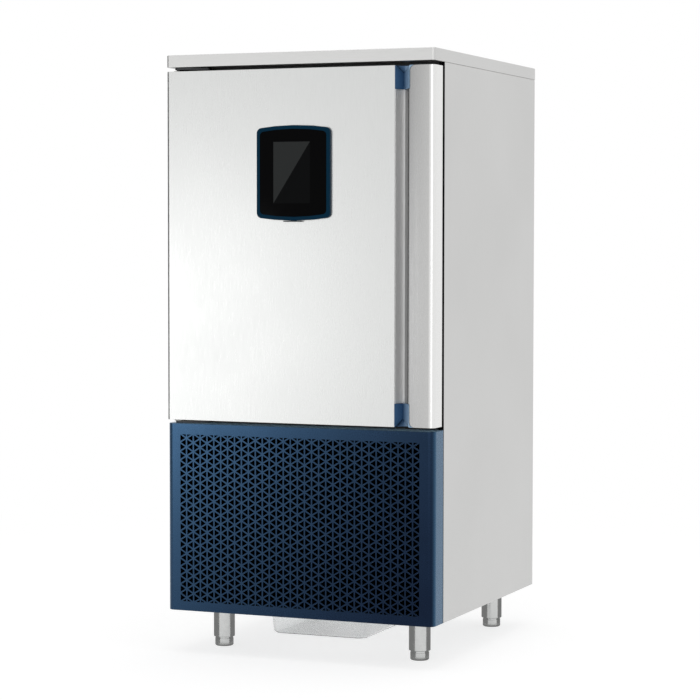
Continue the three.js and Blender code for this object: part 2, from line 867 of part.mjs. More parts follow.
function fanPanel() {
  const width = 2 * (chamberHalfWidth - fanPanelSideGap);
  const height = chamberCeilingZ - chamberFloorZ - 2 * seatGap;
  const slots = [];
  for (const fanZ of [-evaporatorFanPitch / 2, evaporatorFanPitch / 2]) {
    for (let slot = 0; slot < fanSlotCount; slot += 1) {
      const turn = 2 * Math.PI * slot / fanSlotCount;
      const halfOpen = fanSlotShare * Math.PI / fanSlotCount;
      const corner = (radius, angle) => [
        radius * Math.cos(angle),
        fanZ + radius * Math.sin(angle),
      ];
      slots.push([
        corner(fanSlotInner, turn - halfOpen),
        corner(evaporatorFanRadius, turn - halfOpen),
        corner(evaporatorFanRadius, turn + halfOpen),
        corner(fanSlotInner, turn + halfOpen),
      ]);
    }
  }
  const plate = outline(rectangle(width / 2, height / 2), slots);
  return extrudeBack(plate, 0, fanPanelSheet);
}

// A block of fins, open to the front, on a plain back that holds the tubes.
function finnedCoil(width, depth, height, fins) {
  const pitch = (width - finThickness) / (fins - 1);
  const comb = [];
  for (let fin = 0; fin < fins; fin += 1) {
    const x = fin * pitch - width / 2;
    if (fin > 0) comb.push([x, depth * finDepthShare]);
    comb.push([x, 0], [x + finThickness, 0]);
    if (fin < fins - 1) comb.push([x + finThickness, depth * finDepthShare]);
  }
  comb.push([width / 2, depth], [-width / 2, depth]);
  return extrudeUp(outline(comb), 0, height);
}

// ---- Fans. Local frame: the axis is Z, with the front at +Z and the rotor's rear face at 0 ----

function fanRotor(radius) {
  const hub = turned([
    [0, 0],
    [fanHubRadius, 0],
    [fanHubRadius, fanHubLength * 0.8],
    [fanHubRadius * 0.85, fanHubLength],
    [0, fanHubLength],
  ]);
  const halfSpan = THREE.MathUtils.degToRad(fanBladeSpan / 2);
  const rootRadius = fanHubRadius * 0.8;
  const corners = [-1, -0.5, 0, 0.5, 1].map((share) => [
    radius * Math.cos(halfSpan * share),
    radius * Math.sin(halfSpan * share),
  ]);
  const blade = extrudeUp(
    outline([[rootRadius, -rootRadius / 2], ...corners, [rootRadius, rootRadius / 2]]),
    -fanBladeThickness / 2,
    fanBladeThickness / 2,
  ).rotateX(THREE.MathUtils.degToRad(fanBladeTilt)).translate(0, 0, fanHubLength / 2);
  const blades = [];
  for (let index = 0; index < fanBladeCount; index += 1) {
    blades.push(blade.clone().rotateZ(2 * Math.PI * index / fanBladeCount));
  }
  return join(hub, ...blades);
}

function fanMotor(radius) {
  const body = rod(motorRadius, -seatGap - motorLength, -seatGap, roundSides);
  const legX = radius + strapMargin;
  const strapZ = -seatGap - motorLength;
  const legEnd = fanHubLength + fanPlateGap - seatGap;
  const strap = extrudeBack(sheetOutline([
    [-legX, legEnd],
    [-legX, strapZ, strapSheet],
    [legX, strapZ, strapSheet],
    [legX, legEnd],
  ], strapSheet), -strapWidth / 2, strapWidth / 2);
  return join(body, strap);
}

// ---- Machine compartment ----

function condenserShroud() {
  const halfW = condenserWidth / 2;
  const halfH = condenserHeight / 2;
  const box = block([-halfW, halfW], [0, shroudDepth], [-halfH, halfH]);
  const hollow = block(
    [-halfW + shroudSheet, halfW - shroudSheet],
    [-1, shroudDepth - shroudSheet],
    [-halfH + shroudSheet, halfH - shroudSheet],
  );
  const hole = rod(shroudHoleRadius, -1, 2 * shroudDepth, roundSides).rotateX(-Math.PI / 2);
  return cut(box, hollow, hole);
}

// A welded steel pot on a foot plate with four rubber pads and two pipe stubs.
function compressor() {
  const footZ = compressorPadHeight;
  const potZ = footZ + compressorFootSheet;
  const top = potZ + compressorHeight;
  const dome = compressorRadius * 0.35;
  const pot = turned([
    [0, potZ - 1],
    [compressorRadius * 0.85, potZ - 1],
    [compressorRadius, potZ + dome * 0.6],
    [compressorRadius, potZ + compressorHeight * 0.55],
    [compressorRadius + 4, potZ + compressorHeight * 0.57],
    [compressorRadius, potZ + compressorHeight * 0.59],
    [compressorRadius, top - dome],
    [compressorRadius * 0.85, top - dome * 0.35],
    [compressorRadius * 0.5, top - dome * 0.08],
    [0, top],
  ], smallSides);
  const halfFoot = compressorFootWidth / 2;
  const padPlace = halfFoot - compressorPadRadius * 1.3;
  const foot = extrudeUp(outline(rectangle(halfFoot, halfFoot, 20)), footZ, potZ);
  const pads = rectangle(padPlace, padPlace).map(([x, y]) => (
    rod(compressorPadRadius, 0, footZ + 1, 8).translate(x, y, 0)
  ));
  const stubEnd = compressorRadius + portLength;
  const discharge = rod(dischargePipeRadius, compressorRadius * 0.8, stubEnd)
    .rotateY(-Math.PI / 2)
    .translate(0, 0, potZ + compressorHeight * dischargeHeightShare);
  const suction = rod(suctionPipeRadius, compressorRadius * 0.8, stubEnd)
    .rotateY(Math.PI / 2)
    .translate(0, 0, potZ + compressorHeight * suctionHeightShare);
  return join(pot, foot, discharge, suction, ...pads);
}

// An upright vessel on a foot ring, with its outlet on top and its inlet to the front.
function liquidReceiver() {
  const shell = turned([
    [0, 0],
    [receiverRadius * 0.7, 0],
    [receiverRadius * 0.7, receiverRadius * 0.25],
    [receiverRadius, receiverRadius * 0.6],
    [receiverRadius, receiverHeight - receiverRadius * 0.45],
    [receiverRadius * 0.75, receiverHeight - receiverRadius * 0.15],
    [liquidPipeRadius, receiverHeight],
    [liquidPipeRadius, receiverHeight + portLength],
    [0, receiverHeight + portLength],
  ]);
  const inlet = rod(liquidPipeRadius, receiverRadius * 0.7, receiverRadius + portLength)
    .rotateX(Math.PI / 2)
    .translate(0, 0, outletHeight);
  return join(shell, inlet);
}

function filterDrier() {
  const neck = (drierLength - drierRadius * 3) / 2;
  return turned([
    [0, 0],
    [liquidPipeRadius, 0],
    [liquidPipeRadius, neck * 0.6],
    [drierRadius, neck + drierRadius * 0.5],
    [drierRadius, drierLength - neck - drierRadius * 0.5],
    [liquidPipeRadius, drierLength - neck * 0.6],
    [liquidPipeRadius, drierLength],
    [0, drierLength],
  ], smallSides);
}

// A steel box with a lid that overlaps its rim.
function controlBox() {
  const halfLength = controlBoxLength / 2;
  const lidLip = 3;
  const lidDepth = 14;
  const box = block([-controlBoxWidth, 0], [-halfLength, halfLength], [0, controlBoxHeight]);
  const lid = extrudeAcross(
    outline(rectangle(halfLength + lidLip, controlBoxHeight / 2 + lidLip, 6)),
    -controlBoxWidth - lidLip,
    -controlBoxWidth + lidDepth,
  ).translate(0, 0, controlBoxHeight / 2);
  return join(box, lid);
}

// A cable gland: a nut, a dome and a bore that is open below.
function mainsGland() {
  const nutEnd = -glandLength * 0.45;
  const dome = turned([
    [0, -glandLength * 0.3],
    [glandBore, -glandLength * 0.3],
    [glandBore, -glandLength],
    [glandRadius * 0.7, -glandLength],
    [glandRadius * 0.9, nutEnd],
    [glandRadius * 0.9, -seatGap],
    [0, -seatGap],
  ], smallSides);
  return join(dome, rod(glandRadius * 1.15, nutEnd, -glandLength * 0.2, 6));
}

function probeGland() {
  return turned([
    [0, seatGap],
    [glandRadius, seatGap],
    [glandRadius, 4],
    [glandRadius * 0.65, 6],
    [glandRadius * 0.65, 16],
    [glandBore * 0.6, 16],
    [glandBore * 0.6, 8],
    [0, 8],
  ], smallSides);
}

// ---- Hinges ----

function hingeBracket() {
  const left = -hingePlateRadius;
  const front = -hingePlateRadius;
  const right = left + hingePlateWidth;
  const back = faceY - seatGap - (doorFrontY + hingeSetback);
  const plate = extrudeUp(outline([
    [left, front, hingePlateRadius],
    [right * 0.35, front, hingePlateRadius],
    [right, back - 2 * hingePlateRadius, hingePlateRadius],
    [right, back],
    [left, back],
  ]), 0, hingePlateThickness);
  return join(plate, rod(hingePinRadius, -hingePinLength, 1, smallSides));
}

// A flanged bush. It sits in the door's end with its flange outside, at +Z.
function hingeBush(flangeThickness) {
  const bore = hingePinRadius + hingePinClearance;
  const flangeTop = seatGap + flangeThickness;
  return turned([
    [bore, -bushLength],
    [bushRadius, -bushLength],
    [bushRadius, seatGap],
    [bushFlangeRadius, seatGap],
    [bushFlangeRadius, flangeTop],
    [bore, flangeTop],
    [bore, -bushLength],
  ], smallSides);
}

// ---- Door. Local frame: x as the cabinet, y from the door's front, z from its bottom ----

const grooveX = halfWidth - gripWidth - grooveWidth;
const gripX = halfWidth - gripWidth;
const grooveEndX = gripX + grooveUndercut;
const gripReturnY = handleSheet / 2 + gripNoseDrop + 2 * gripNoseRadius;
const bezelMidZ = doorHeight - bezelTopInset;

function moduleHole(y0, y1) {
  return moduleSpace(seatGap, y0, y1).translate(bezelOffsetX, 0, bezelMidZ);
}

function bushHoles() {
  const hole = rod(bushRadius + seatGap, -bushLength - 1, bushLength);
  return [0, 1].map((end) => (
    hole.clone().rotateX(end ? 0 : Math.PI).translate(hingeX, hingeSetback, end * doorHeight)
  ));
}

// Front, left side, top and bottom of the door in one folded sheet.
function doorSkin() {
  const body = (inset, back) => outline([
    [inset - halfWidth, back],
    [inset - halfWidth, inset, doorCornerRadius - inset],
    [grooveX - inset, inset],
    [grooveX - inset, back],
  ]);
  const outside = extrudeUp(body(0, doorThickness), 0, doorHeight);
  const inside = extrudeUp(
    body(panelSheet, doorThickness + 1),
    panelSheet,
    doorHeight - panelSheet,
  );
  const openSide = block(
    [grooveX - 2 * panelSheet, grooveX + 1],
    [doorSkinReturn, doorThickness + 1],
    [-1, doorHeight + 1],
  );
  return cut(outside, inside, openSide, moduleHole(-1, 2), ...bushHoles());
}

function doorCore() {
  const front = handleSheet + seatGap;
  const back = doorThickness - panelSheet - seatGap;
  const left = -halfWidth + panelSheet + seatGap;
  const right = halfWidth - handleSheet - seatGap;
  const body = extrudeUp(outline([
    [left, back],
    [left, front, doorCornerRadius - front],
    [right, front, gripCornerRadius - front],
    [right, back],
  ]), front, doorHeight - front);
  const channelSpace = handleSheet / 2 + seatGap;
  const pocketLeft = grooveX - panelSheet - seatGap;
  const pocketRight = grooveEndX + channelSpace;
  const pocketEnd = gripX + gripReturnReach + 2 * handleSheet;
  const pocketBottom = grooveDepth + channelSpace;
  const returnBack = gripReturnY + handleSheet / 2 + seatGap;
  const pocket = extrudeUp(outline([
    [pocketLeft, -1],
    [pocketEnd, -1],
    [pocketEnd, returnBack],
    [pocketRight, returnBack],
    [pocketRight, pocketBottom, grooveRightRadius],
    [pocketLeft, pocketBottom, grooveLeftRadius],
  ]), -1, doorHeight + 1);
  const module = moduleHole(-1, moduleDepth);
  return cut(body, pocket, module, ...bushHoles());
}

function doorInnerPanel() {
  const left = -halfWidth + panelSheet + seatGap;
  const right = halfWidth - handleSheet - seatGap;
  const edge = panelSheet + seatGap;
  return block([left, right], [doorThickness - panelSheet, doorThickness], [edge, doorHeight - edge]);
}

// A ring with a wide foot on the door and a narrower lip that meets the cabinet.
function doorGasket() {
  const halfX = halfWidth - (gasketHingeInset + gasketFreeInset) / 2;
  const halfZ = doorHeight / 2 - gasketEndInset;
  const middleX = (gasketHingeInset - gasketFreeInset) / 2;
  const ring = (outerInset, width, y0, y1) => {
    const shape = outline(
      rectangle(halfX - outerInset, halfZ - outerInset, gasketCornerRadius),
      [rectangle(halfX - outerInset - width, halfZ - outerInset - width)],
    );
    return extrudeBack(shape, y0, y1);
  };
  const foot = doorThickness + seatGap;
  const end = doorThickness + gasketThickness - seatGap;
  const lipStart = end - gasketLipHeight;
  const lipInset = (gasketWidth - gasketLipWidth) / 2;
  return join(
    ring(0, gasketWidth, foot, lipStart),
    ring(lipInset, gasketLipWidth, lipStart - 1, end),
  ).translate([middleX, 0, doorHeight / 2]);
}

function handleChannel() {
  const left = grooveX + seatGap + handleSheet / 2;
  const top = gripReturnY + handleSheet / 2 + seatGap;
  const section = sheetOutline([
    [left, 1],
    [left, grooveDepth, grooveLeftRadius],
    [grooveEndX, grooveDepth, grooveRightRadius],
    [grooveEndX, top],
  ], handleSheet);
  return extrudeUp(section, capLength + seatGap, doorHeight - capLength - seatGap);
}

// The space beside the rounded lower end of the grip, in X and Z.
function gripEndSpace(clearance) {
  const middleX = gripX + gripEndRadius;
  const radius = gripEndRadius + clearance;
  const start = Math.PI;
  const end = 1.5 * Math.PI;
  const arc = new THREE.EllipseCurve(middleX, gripEndRadius, radius, radius, start, end);
  return new THREE.Shape([
    new THREE.Vector2(middleX, -1),
    new THREE.Vector2(gripX - 1, -1),
    new THREE.Vector2(gripX - 1, gripEndRadius),
    ...arc.getPoints(4),
  ]);
}

function atDoorTop(shape) {
  return toSolid(shape).mirror([0, 0, 1]).translate([0, 0, doorHeight]);
}

// The grip's sheet turns from the door's side over the front, round the nose and back in.
// At both ends it stops short of the caps, with a rounded corner.
function handleGrip() {
  const middle = handleSheet / 2;
  const noseX = gripX - gripNoseReach + middle;
  const noseRadius = gripNoseRadius - middle;
  const sheet = extrudeUp(sheetOutline([
    [halfWidth - middle, doorThickness],
    [halfWidth - middle, middle, gripCornerRadius - middle],
    [halfWidth - gripCornerRadius - gripFlat, middle],
    [noseX, middle + gripNoseDrop, noseRadius],
    [noseX, gripReturnY, noseRadius],
    [gripX + gripReturnReach, gripReturnY],
  ], handleSheet), 0, doorHeight);
  const back = doorThickness - panelSheet - seatGap;
  const plateLeft = grooveEndX + handleSheet + seatGap;
  const endPlate = extrudeUp(outline([
    [plateLeft, middle],
    [halfWidth - middle, middle, gripCornerRadius - middle],
    [halfWidth - middle, back],
    [plateLeft, back],
  ]), 0, handleSheet);
  const depth = gripReturnY + handleSheet;
  const overCap = block(
    [gripX - 2 * gripNoseReach, gripX + seatGap],
    [-1, depth],
    [-1, capLength + seatGap],
  );
  const roundedEnd = extrudeBack(gripEndSpace(0), -1, depth);
  return cut(
    join(sheet, endPlate, atDoorTop(endPlate)),
    overCap,
    atDoorTop(overCap),
    roundedEnd,
    atDoorTop(roundedEnd),
  );
}

// The lower cap closes the groove's end. Its front is a valley with a notch at the outer end,
// and a small corner of it fills the space under the grip's rounded end.
function handleCap() {
  const outer = handleSheet / 2;
  const left = grooveX + seatGap;
  const right = grooveEndX + outer;
  const bottom = grooveDepth + outer;
  const shelf = gripReturnY + outer + seatGap;
  const valleyX = grooveX + capValleyOffset;
  const body = extrudeUp(outline([
    [left, 0],
    [gripX, 0],
    [gripX, shelf],
    [right, shelf],
    [right, bottom, grooveRightRadius + outer],
    [left, bottom, grooveLeftRadius + outer],
  ]), 0, capLength);
  const corner = toSolid(extrudeBack(gripEndSpace(seatGap), 0, shelf + 1))
    .intersect(solid(block([gripX - 1, right], [-1, grooveDepth], [0, capLength])));
  const valley = extrudeUp(outline([
    [left + capLand, -0.1],
    [valleyX, capValleyDepth],
    [gripX - capLand, -0.1],
  ]), -1, capLength + 1);
  const notchRight = gripX + 2 * capLand;
  const notchOutline = outline([
    [left + capLand, -0.1],
    [valleyX, capNotchHeight],
    [notchRight, -0.1],
  ]);
  const insideWalls = extrudeUp(outline([
    [left + capLand, -1],
    [notchRight, -1],
    [notchRight, bottom - handleSheet],
    [left + capLand, bottom - handleSheet, grooveLeftRadius],
  ]), -1, capLength);
  const notch = toSolid(extrudeBack(notchOutline, -1, bottom)).intersect(solid(insideWalls));
  return cut(join(body, corner), valley, notch);
}

// ---- Display. Local frame: the middle of the display on the door's front, x and z as the door ----

// Straight sides, and a top and bottom that rise gently to the middle.
function archedOutline(inset, radius) {
  const halfX = bezelWidth / 2 - inset;
  const halfZ = bezelSideHeight / 2 - inset;
  const arch = (sign) => [-0.5, 0, 0.5].map((share) => [
    share * sign * halfX,
    -sign * (halfZ + bezelArch * (1 - share * share)),
  ]);
  return outline([
    [-halfX, -halfZ, radius],
    ...arch(1),
    [halfX, -halfZ, radius],
    [halfX, halfZ, radius],
    ...arch(-1),
    [-halfX, halfZ, radius],
  ]);
}

const bezelFrontY = -bezelProud;
const glassFrontY = bezelFrontY + glassRecess;
const glassBackY = glassFrontY + glassThickness;

function moduleSpace(clearance, y0, y1) {
  const halfX = moduleWidth / 2 + clearance;
  const halfZ = moduleHeight / 2 + clearance;
  return block([-halfX, halfX], [y0, y1], [-halfZ, halfZ]);
}

function displayBezel() {
  const body = extrudeBack(archedOutline(0, bezelCornerRadius), bezelFrontY, bezelBevel, bezelBevel);
  const behind = block([-bezelWidth, bezelWidth], [-seatGap, 1 + bezelBevel], [-bezelWidth, bezelWidth]);
  const pocketOutline = archedOutline(bezelBorder, bezelCornerRadius - bezelBevel);
  const pocket = extrudeBack(pocketOutline, bezelFrontY - 1, glassBackY + seatGap);
  return cut(body, behind, pocket, moduleSpace(seatGap, bezelFrontY, 1));
}

function displayGlass() {
  const inset = bezelBorder + seatGap;
  return extrudeBack(archedOutline(inset, bezelCornerRadius - bezelBevel), glassFrontY, glassBackY);
}

function displayModule() {
  const front = glassBackY + seatGap;
  return moduleSpace(0, front, front + moduleDepth);
}

// A flap under the display. It turns about its rounded rear edge, which is at the origin.
function portCover() {
  const half = portCoverThickness / 2;
  const section = outline([
    [half - portCoverReach, -half, half / 2],
    [half, -half, half],
    [half, half, half],
    [half - portCoverReach, half],
  ]);
  return extrudeAcross(section, -portCoverWidth / 2, portCoverWidth / 2);
}

// ---- Assembly ----

const cabinet = new THREE.Group();

place(cabinet, 'right_side_panel', sidePanel(), brushedSteel, [0, 0, legHeight]);
place(cabinet, 'left_side_panel', sidePanel(), brushedSteel, [0, 0, legHeight]).scale.x = -1;
place(cabinet, 'top_panel', topPanel(), brushedSteel, [0, 0, bodyTopZ]);
place(cabinet, 'rear_panel', rearPanel(), galvanisedSteel);
place(cabinet, 'rear_grille', rearGrille(), galvanisedSteel);
place(cabinet, 'base_plate', basePlate(), galvanisedSteel);
place(cabinet, 'insulation', insulation(), yellowFoam);
place(cabinet, 'chamber_liner', chamberLiner(), satinSteel);
place(cabinet, 'front_frame', frontFrame(), darkPlastic);
place(cabinet, 'lower_front_panel', lowerFrontPanel(), navyPaint, [0, doorFrontY, legHeight]);

// Four feet.
const sleeve = toGeometry(footSleeve());
const cup = toGeometry(footCup());
for (const [side, x] of [['left', footInsetX - halfWidth], ['right', halfWidth - footInsetX]]) {
  for (const [end, y] of [['front', faceY + footInsetY], ['rear', backY - footInsetY]]) {
    place(cabinet, `foot_sleeve_${end}_${side}`, sleeve, polishedSteel, [x, y, 0]);
    place(cabinet, `foot_cup_${end}_${side}`, cup, polishedSteel, [x, y, 0]);
  }
}

// The drip tray on its runners.
const underBase = new THREE.Group();
underBase.position.set(0, faceY + traySetback, legHeight);
cabinet.add(underBase);
const runner = toGeometry(trayRunner());
place(underBase, 'drip_tray_runner_right', runner, galvanisedSteel);
place(underBase, 'drip_tray_runner_left', runner, galvanisedSteel).scale.x = -1;
const trayMiddle = [0, trayLength / 2, -trayDrop - trayDepth];
place(underBase, 'drip_tray', dripTray(), clearPlastic, trayMiddle);

// The racks, the probe's gland, the fan panel and the evaporator in the chamber.
const rack = toGeometry(trayRack());
const rackPlace = [chamberHalfWidth, rackFrontY, chamberFloorZ];
place(cabinet, 'tray_rack_right', rack, satinSteel, rackPlace);
const leftRackPlace = [-chamberHalfWidth, rackFrontY, chamberFloorZ];
place(cabinet, 'tray_rack_left', rack, satinSteel, leftRackPlace).scale.x = -1;
const probePlace = [chamberHalfWidth, (faceY + rackFrontY) / 2, chamberFloorZ + probeHeight];
place(cabinet, 'probe_gland', probeGland(), whiteNylon, probePlace).rotation.y = -Math.PI / 2;
place(cabinet, 'fan_panel', fanPanel(), satinSteel, [0, fanPanelY, chamberMidZ]);
const evaporator = finnedCoil(
  evaporatorWidth,
  evaporatorDepth,
  evaporatorHeight,
  evaporatorFins,
);
const evaporatorPlace = [0, evaporatorFrontY, evaporatorBottomZ];
place(cabinet, 'evaporator_coil', evaporator, aluminiumFins, evaporatorPlace);

// A fan behind a plate. plateBackY is the plate's rear face.
function placeFan(name, end, radius, [x, plateBackY, z]) {
  const fan = new THREE.Group();
  fan.position.set(x, plateBackY + fanPlateGap + fanHubLength, z);
  fan.rotation.x = Math.PI / 2;
  cabinet.add(fan);
  place(fan, `${name}_rotor${end}`, fanRotor(radius), blackPaint);
  place(fan, `${name}_motor${end}`, fanMotor(radius), blackPaint);
}

const evaporatorPlateY = fanPanelY + fanPanelSheet;
for (const [end, sign] of [['_upper', 1], ['_lower', -1]]) {
  const z = chamberMidZ + sign * evaporatorFanPitch / 2;
  placeFan('evaporator_fan', end, evaporatorFanRadius, [0, evaporatorPlateY, z]);
}

// The machine compartment.
const floorZ = baseTopZ + seatGap;
const condenserMidZ = floorZ + condenserHeight / 2;
const shroudPlace = [condenserMidX, condenserBackY + seatGap, condenserMidZ];
const condenser = finnedCoil(condenserWidth, condenserDepth, condenserHeight, condenserFins);
place(cabinet, 'condenser_coil', condenser, aluminiumFins, [condenserMidX, condenserFrontY, floorZ]);
place(cabinet, 'condenser_shroud', condenserShroud(), galvanisedSteel, shroudPlace);
placeFan('condenser_fan', '', condenserFanRadius, [condenserMidX, shroudBackY, condenserMidZ]);
place(cabinet, 'compressor', compressor(), blackPaint, [compressorX, compressorY, floorZ]);
place(cabinet, 'liquid_receiver', liquidReceiver(), blackPaint, [receiverX, receiverY, floorZ]);
const drierBottomZ = floorZ + receiverHeight + portLength + seatGap;
place(cabinet, 'filter_drier', filterDrier(), copperTube, [receiverX, receiverY, drierBottomZ]);
const boxMidY = innerFrontY + controlBoxSetback + controlBoxLength / 2;
const boxPlace = [innerHalfWidth, boxMidY, floorZ + controlBoxLift];
place(cabinet, 'control_box', controlBox(), galvanisedSteel, boxPlace);
const glandPlace = [innerHalfWidth - glandInsetX, innerBackY - glandInsetY, legHeight];
place(cabinet, 'mains_gland', mainsGland(), darkPlastic, glandPlace);
const drainBottomZ = legHeight - drainDrop;
const drainTopZ = chamberFloorZ - linerSheet - seatGap;
const drain = turned([
  [drainBore, drainBottomZ],
  [drainRadius, drainBottomZ],
  [drainRadius, drainTopZ],
  [drainBore, drainTopZ],
  [drainBore, drainBottomZ],
], smallSides);
place(cabinet, 'drain_pipe', drain, whiteNylon, [drainX, drainY, 0]);

// The refrigerant pipes. Each starts and ends face to face with what it joins.
const highZ = lowerTopZ - pipeCeilingGap;
const stubReach = compressorRadius + portLength + seatGap;
const compressorPotZ = floorZ + compressorPadHeight + compressorFootSheet;
const dischargeZ = compressorPotZ + compressorHeight * dischargeHeightShare;
const suctionZ = compressorPotZ + compressorHeight * suctionHeightShare;
const condenserTopZ = floorZ + condenserHeight + seatGap;
const discharge = pipe([
  [compressorX - stubReach, compressorY, dischargeZ],
  [dischargeX, compressorY, dischargeZ],
  [dischargeX, compressorY, highZ],
  [dischargeX, condenserPipeY, highZ],
  [dischargeX, condenserPipeY, condenserTopZ],
], dischargePipeRadius);
place(cabinet, 'discharge_pipe', discharge, copperTube);

const outletX = condenserMidX - condenserWidth / 2 - seatGap;
const outletZ = floorZ + outletHeight;
const inletY = receiverY - receiverRadius - portLength - seatGap;
const outletWallX = -innerHalfWidth + pipeWallGap;
const outletTurnY = inletY - 2 * pipeBendRadius;
const condenserOutlet = pipe([
  [outletX, condenserPipeY, outletZ],
  [outletWallX, condenserPipeY, outletZ],
  [outletWallX, outletTurnY, outletZ],
  [receiverX, outletTurnY, outletZ],
  [receiverX, inletY, outletZ],
], liquidPipeRadius);
place(cabinet, 'condenser_outlet_pipe', condenserOutlet, copperTube);

const evaporatorInletZ = evaporatorBottomZ - seatGap;
const liquid = pipe([
  [receiverX, receiverY, drierBottomZ + drierLength + seatGap],
  [receiverX, receiverY, highZ],
  [liquidInletX, evaporatorPipeY, highZ],
  [liquidInletX, evaporatorPipeY, evaporatorInletZ],
], liquidPipeRadius);
place(cabinet, 'liquid_pipe', liquid, copperTube);

const suctionWallX = innerHalfWidth - pipeWallGap;
const suction = pipe([
  [suctionInletX, evaporatorPipeY, evaporatorInletZ],
  [suctionInletX, evaporatorPipeY, highZ],
  [suctionWallX, evaporatorPipeY, highZ],
  [suctionWallX, compressorY, highZ],
  [suctionWallX, compressorY, suctionZ],
  [compressorX + stubReach, compressorY, suctionZ],
], suctionPipeRadius);
place(cabinet, 'suction_pipe', suction, copperTube);

// The hinge brackets, above and below the door.
const hingeY = doorFrontY + hingeSetback;
const bracket = toGeometry(hingeBracket());
const topBracketZ = bodyTopZ - seatGap - hingePlateThickness;
const bottomBracketZ = lowerTopZ + seatGap + hingePlateThickness;
place(cabinet, 'hinge_bracket_top', bracket, polishedSteel, [hingeX, hingeY, topBracketZ]);
const bottomBracketPlace = [hingeX, hingeY, bottomBracketZ];
place(cabinet, 'hinge_bracket_bottom', bracket, polishedSteel, bottomBracketPlace).scale.z = -1;

// The door.
const door = new THREE.Group();
door.position.set(0, doorFrontY, doorBottomZ);
cabinet.add(door);
place(door, 'door_skin', doorSkin(), brushedSteel);
place(door, 'door_core', doorCore(), yellowFoam);
place(door, 'door_inner_panel', doorInnerPanel(), satinSteel);
place(door, 'door_gasket', doorGasket(), greyRubber);
place(door, 'handle_channel', handleChannel(), satinSteel);
place(door, 'handle_grip', handleGrip(), brushedSteel);
const cap = toGeometry(handleCap());
place(door, 'handle_cap_bottom', cap, bluePlastic);
place(door, 'handle_cap_top', cap, bluePlastic, [0, 0, doorHeight]).scale.z = -1;
const bushPlace = [hingeX, hingeSetback, doorHeight];
place(door, 'hinge_bush_top', hingeBush(bushFlangeThickness), whiteNylon, bushPlace);
const carryingFlange = gapBelowDoor - hingePlateThickness - 3 * seatGap;
const lowerBushPlace = [hingeX, hingeSetback, 0];
place(door, 'hinge_bush_bottom', hingeBush(carryingFlange), whiteNylon, lowerBushPlace).scale.z = -1;

const display = new THREE.Group();
display.position.set(bezelOffsetX, 0, bezelMidZ);
door.add(display);
place(display, 'display_bezel', displayBezel(), bezelBlue);
place(display, 'display_glass', displayGlass(), blackGlass);
place(display, 'display_module', displayModule(), darkPlastic);
const coverZ = -bezelSideHeight / 2 - bezelArch - seatGap - portCoverThickness / 2;
const coverPlace = [portCoverOffsetX, -portCoverThickness, coverZ];
place(display, 'port_cover', portCover(), darkPlastic, coverPlace);

export default cabinet;
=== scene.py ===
"""Looks of a free-standing blast chiller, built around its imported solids.

Metres, +X to the right, -Y to the front, +Z up, with the origin on the floor under the middle.
"""
import json
import math

import bmesh
import bpy
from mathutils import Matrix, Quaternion, Vector

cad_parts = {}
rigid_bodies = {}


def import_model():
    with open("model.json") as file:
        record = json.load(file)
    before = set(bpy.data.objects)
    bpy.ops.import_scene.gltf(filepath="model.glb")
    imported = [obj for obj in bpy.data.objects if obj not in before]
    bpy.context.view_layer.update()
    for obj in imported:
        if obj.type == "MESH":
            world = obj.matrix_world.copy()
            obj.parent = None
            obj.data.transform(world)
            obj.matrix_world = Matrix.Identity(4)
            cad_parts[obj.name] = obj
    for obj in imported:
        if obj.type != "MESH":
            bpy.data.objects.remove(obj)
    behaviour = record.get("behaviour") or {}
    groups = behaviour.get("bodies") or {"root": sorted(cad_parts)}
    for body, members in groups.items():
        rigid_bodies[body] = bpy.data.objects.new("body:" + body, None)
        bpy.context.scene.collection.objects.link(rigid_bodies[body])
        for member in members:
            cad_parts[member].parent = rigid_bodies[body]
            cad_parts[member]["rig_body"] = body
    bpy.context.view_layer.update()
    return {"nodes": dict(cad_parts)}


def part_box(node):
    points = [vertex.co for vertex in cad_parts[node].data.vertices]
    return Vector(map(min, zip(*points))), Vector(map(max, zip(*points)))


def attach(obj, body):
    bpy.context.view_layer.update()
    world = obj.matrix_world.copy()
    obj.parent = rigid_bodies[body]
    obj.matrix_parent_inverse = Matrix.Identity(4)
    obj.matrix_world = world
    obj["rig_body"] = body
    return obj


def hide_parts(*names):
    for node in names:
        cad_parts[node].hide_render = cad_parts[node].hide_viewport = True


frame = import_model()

nodes = frame["nodes"]

MM = 0.001
UP = Vector((0, 0, 1))

# ---- Driving values ----

# The camera, as the photograph's frame of 700 x 700 pixels shows the cabinet.
CAMERA_PLACE = Vector((2.5452, -6.1981, 1.1570))
CAMERA_TARGET = Vector((-0.0194, 0.0, 0.8312))
CAMERA_ROLL = math.radians(0.064)
CAMERA_LENS = 120.06            # mm
CAMERA_SENSOR = 36              # mm
CAMERA_REACH = 60

# In a node's own shape, points this close are joined, and so are faces this near to one plane.
MERGE_DISTANCE = 0.002 * MM
FLAT_ANGLE = 0.4                # degrees

# The perforated panel. Its field of holes has whole columns and rows.
PANEL_SHEET = 1.5 * MM
PANEL_CORNER = 20 * MM
PANEL_CORNER_STEPS = 10
PANEL_EDGE = 1.2 * MM
FIELD_SIDE_MARGIN = 39 * MM
FIELD_BOTTOM_MARGIN = 24 * MM
FIELD_TOP_MARGIN = 28 * MM
FIELD_COLUMNS = 34
FIELD_ROWS = 19
FIELD_WEB = 3.9 * MM

# The feet: a flanged sleeve, and a cup on a stud in it.
LATHE_SIDES = 64
FOOT_EDGE = 1.2 * MM
FOOT_FLANGE_REACH = 8 * MM
FOOT_FLANGE_HEIGHT = 4 * MM
FOOT_SOCKET_RADIUS = 20 * MM
FOOT_STUD_RADIUS = 19 * MM
FOOT_CUP_GAP = 0.3 * MM
FOOT_CUP_CHAMFER = 3 * MM
FOOT_CUP_NECK_HEIGHT = 5 * MM
FOOT_CUP_NECK_DEPTH = 1.2 * MM

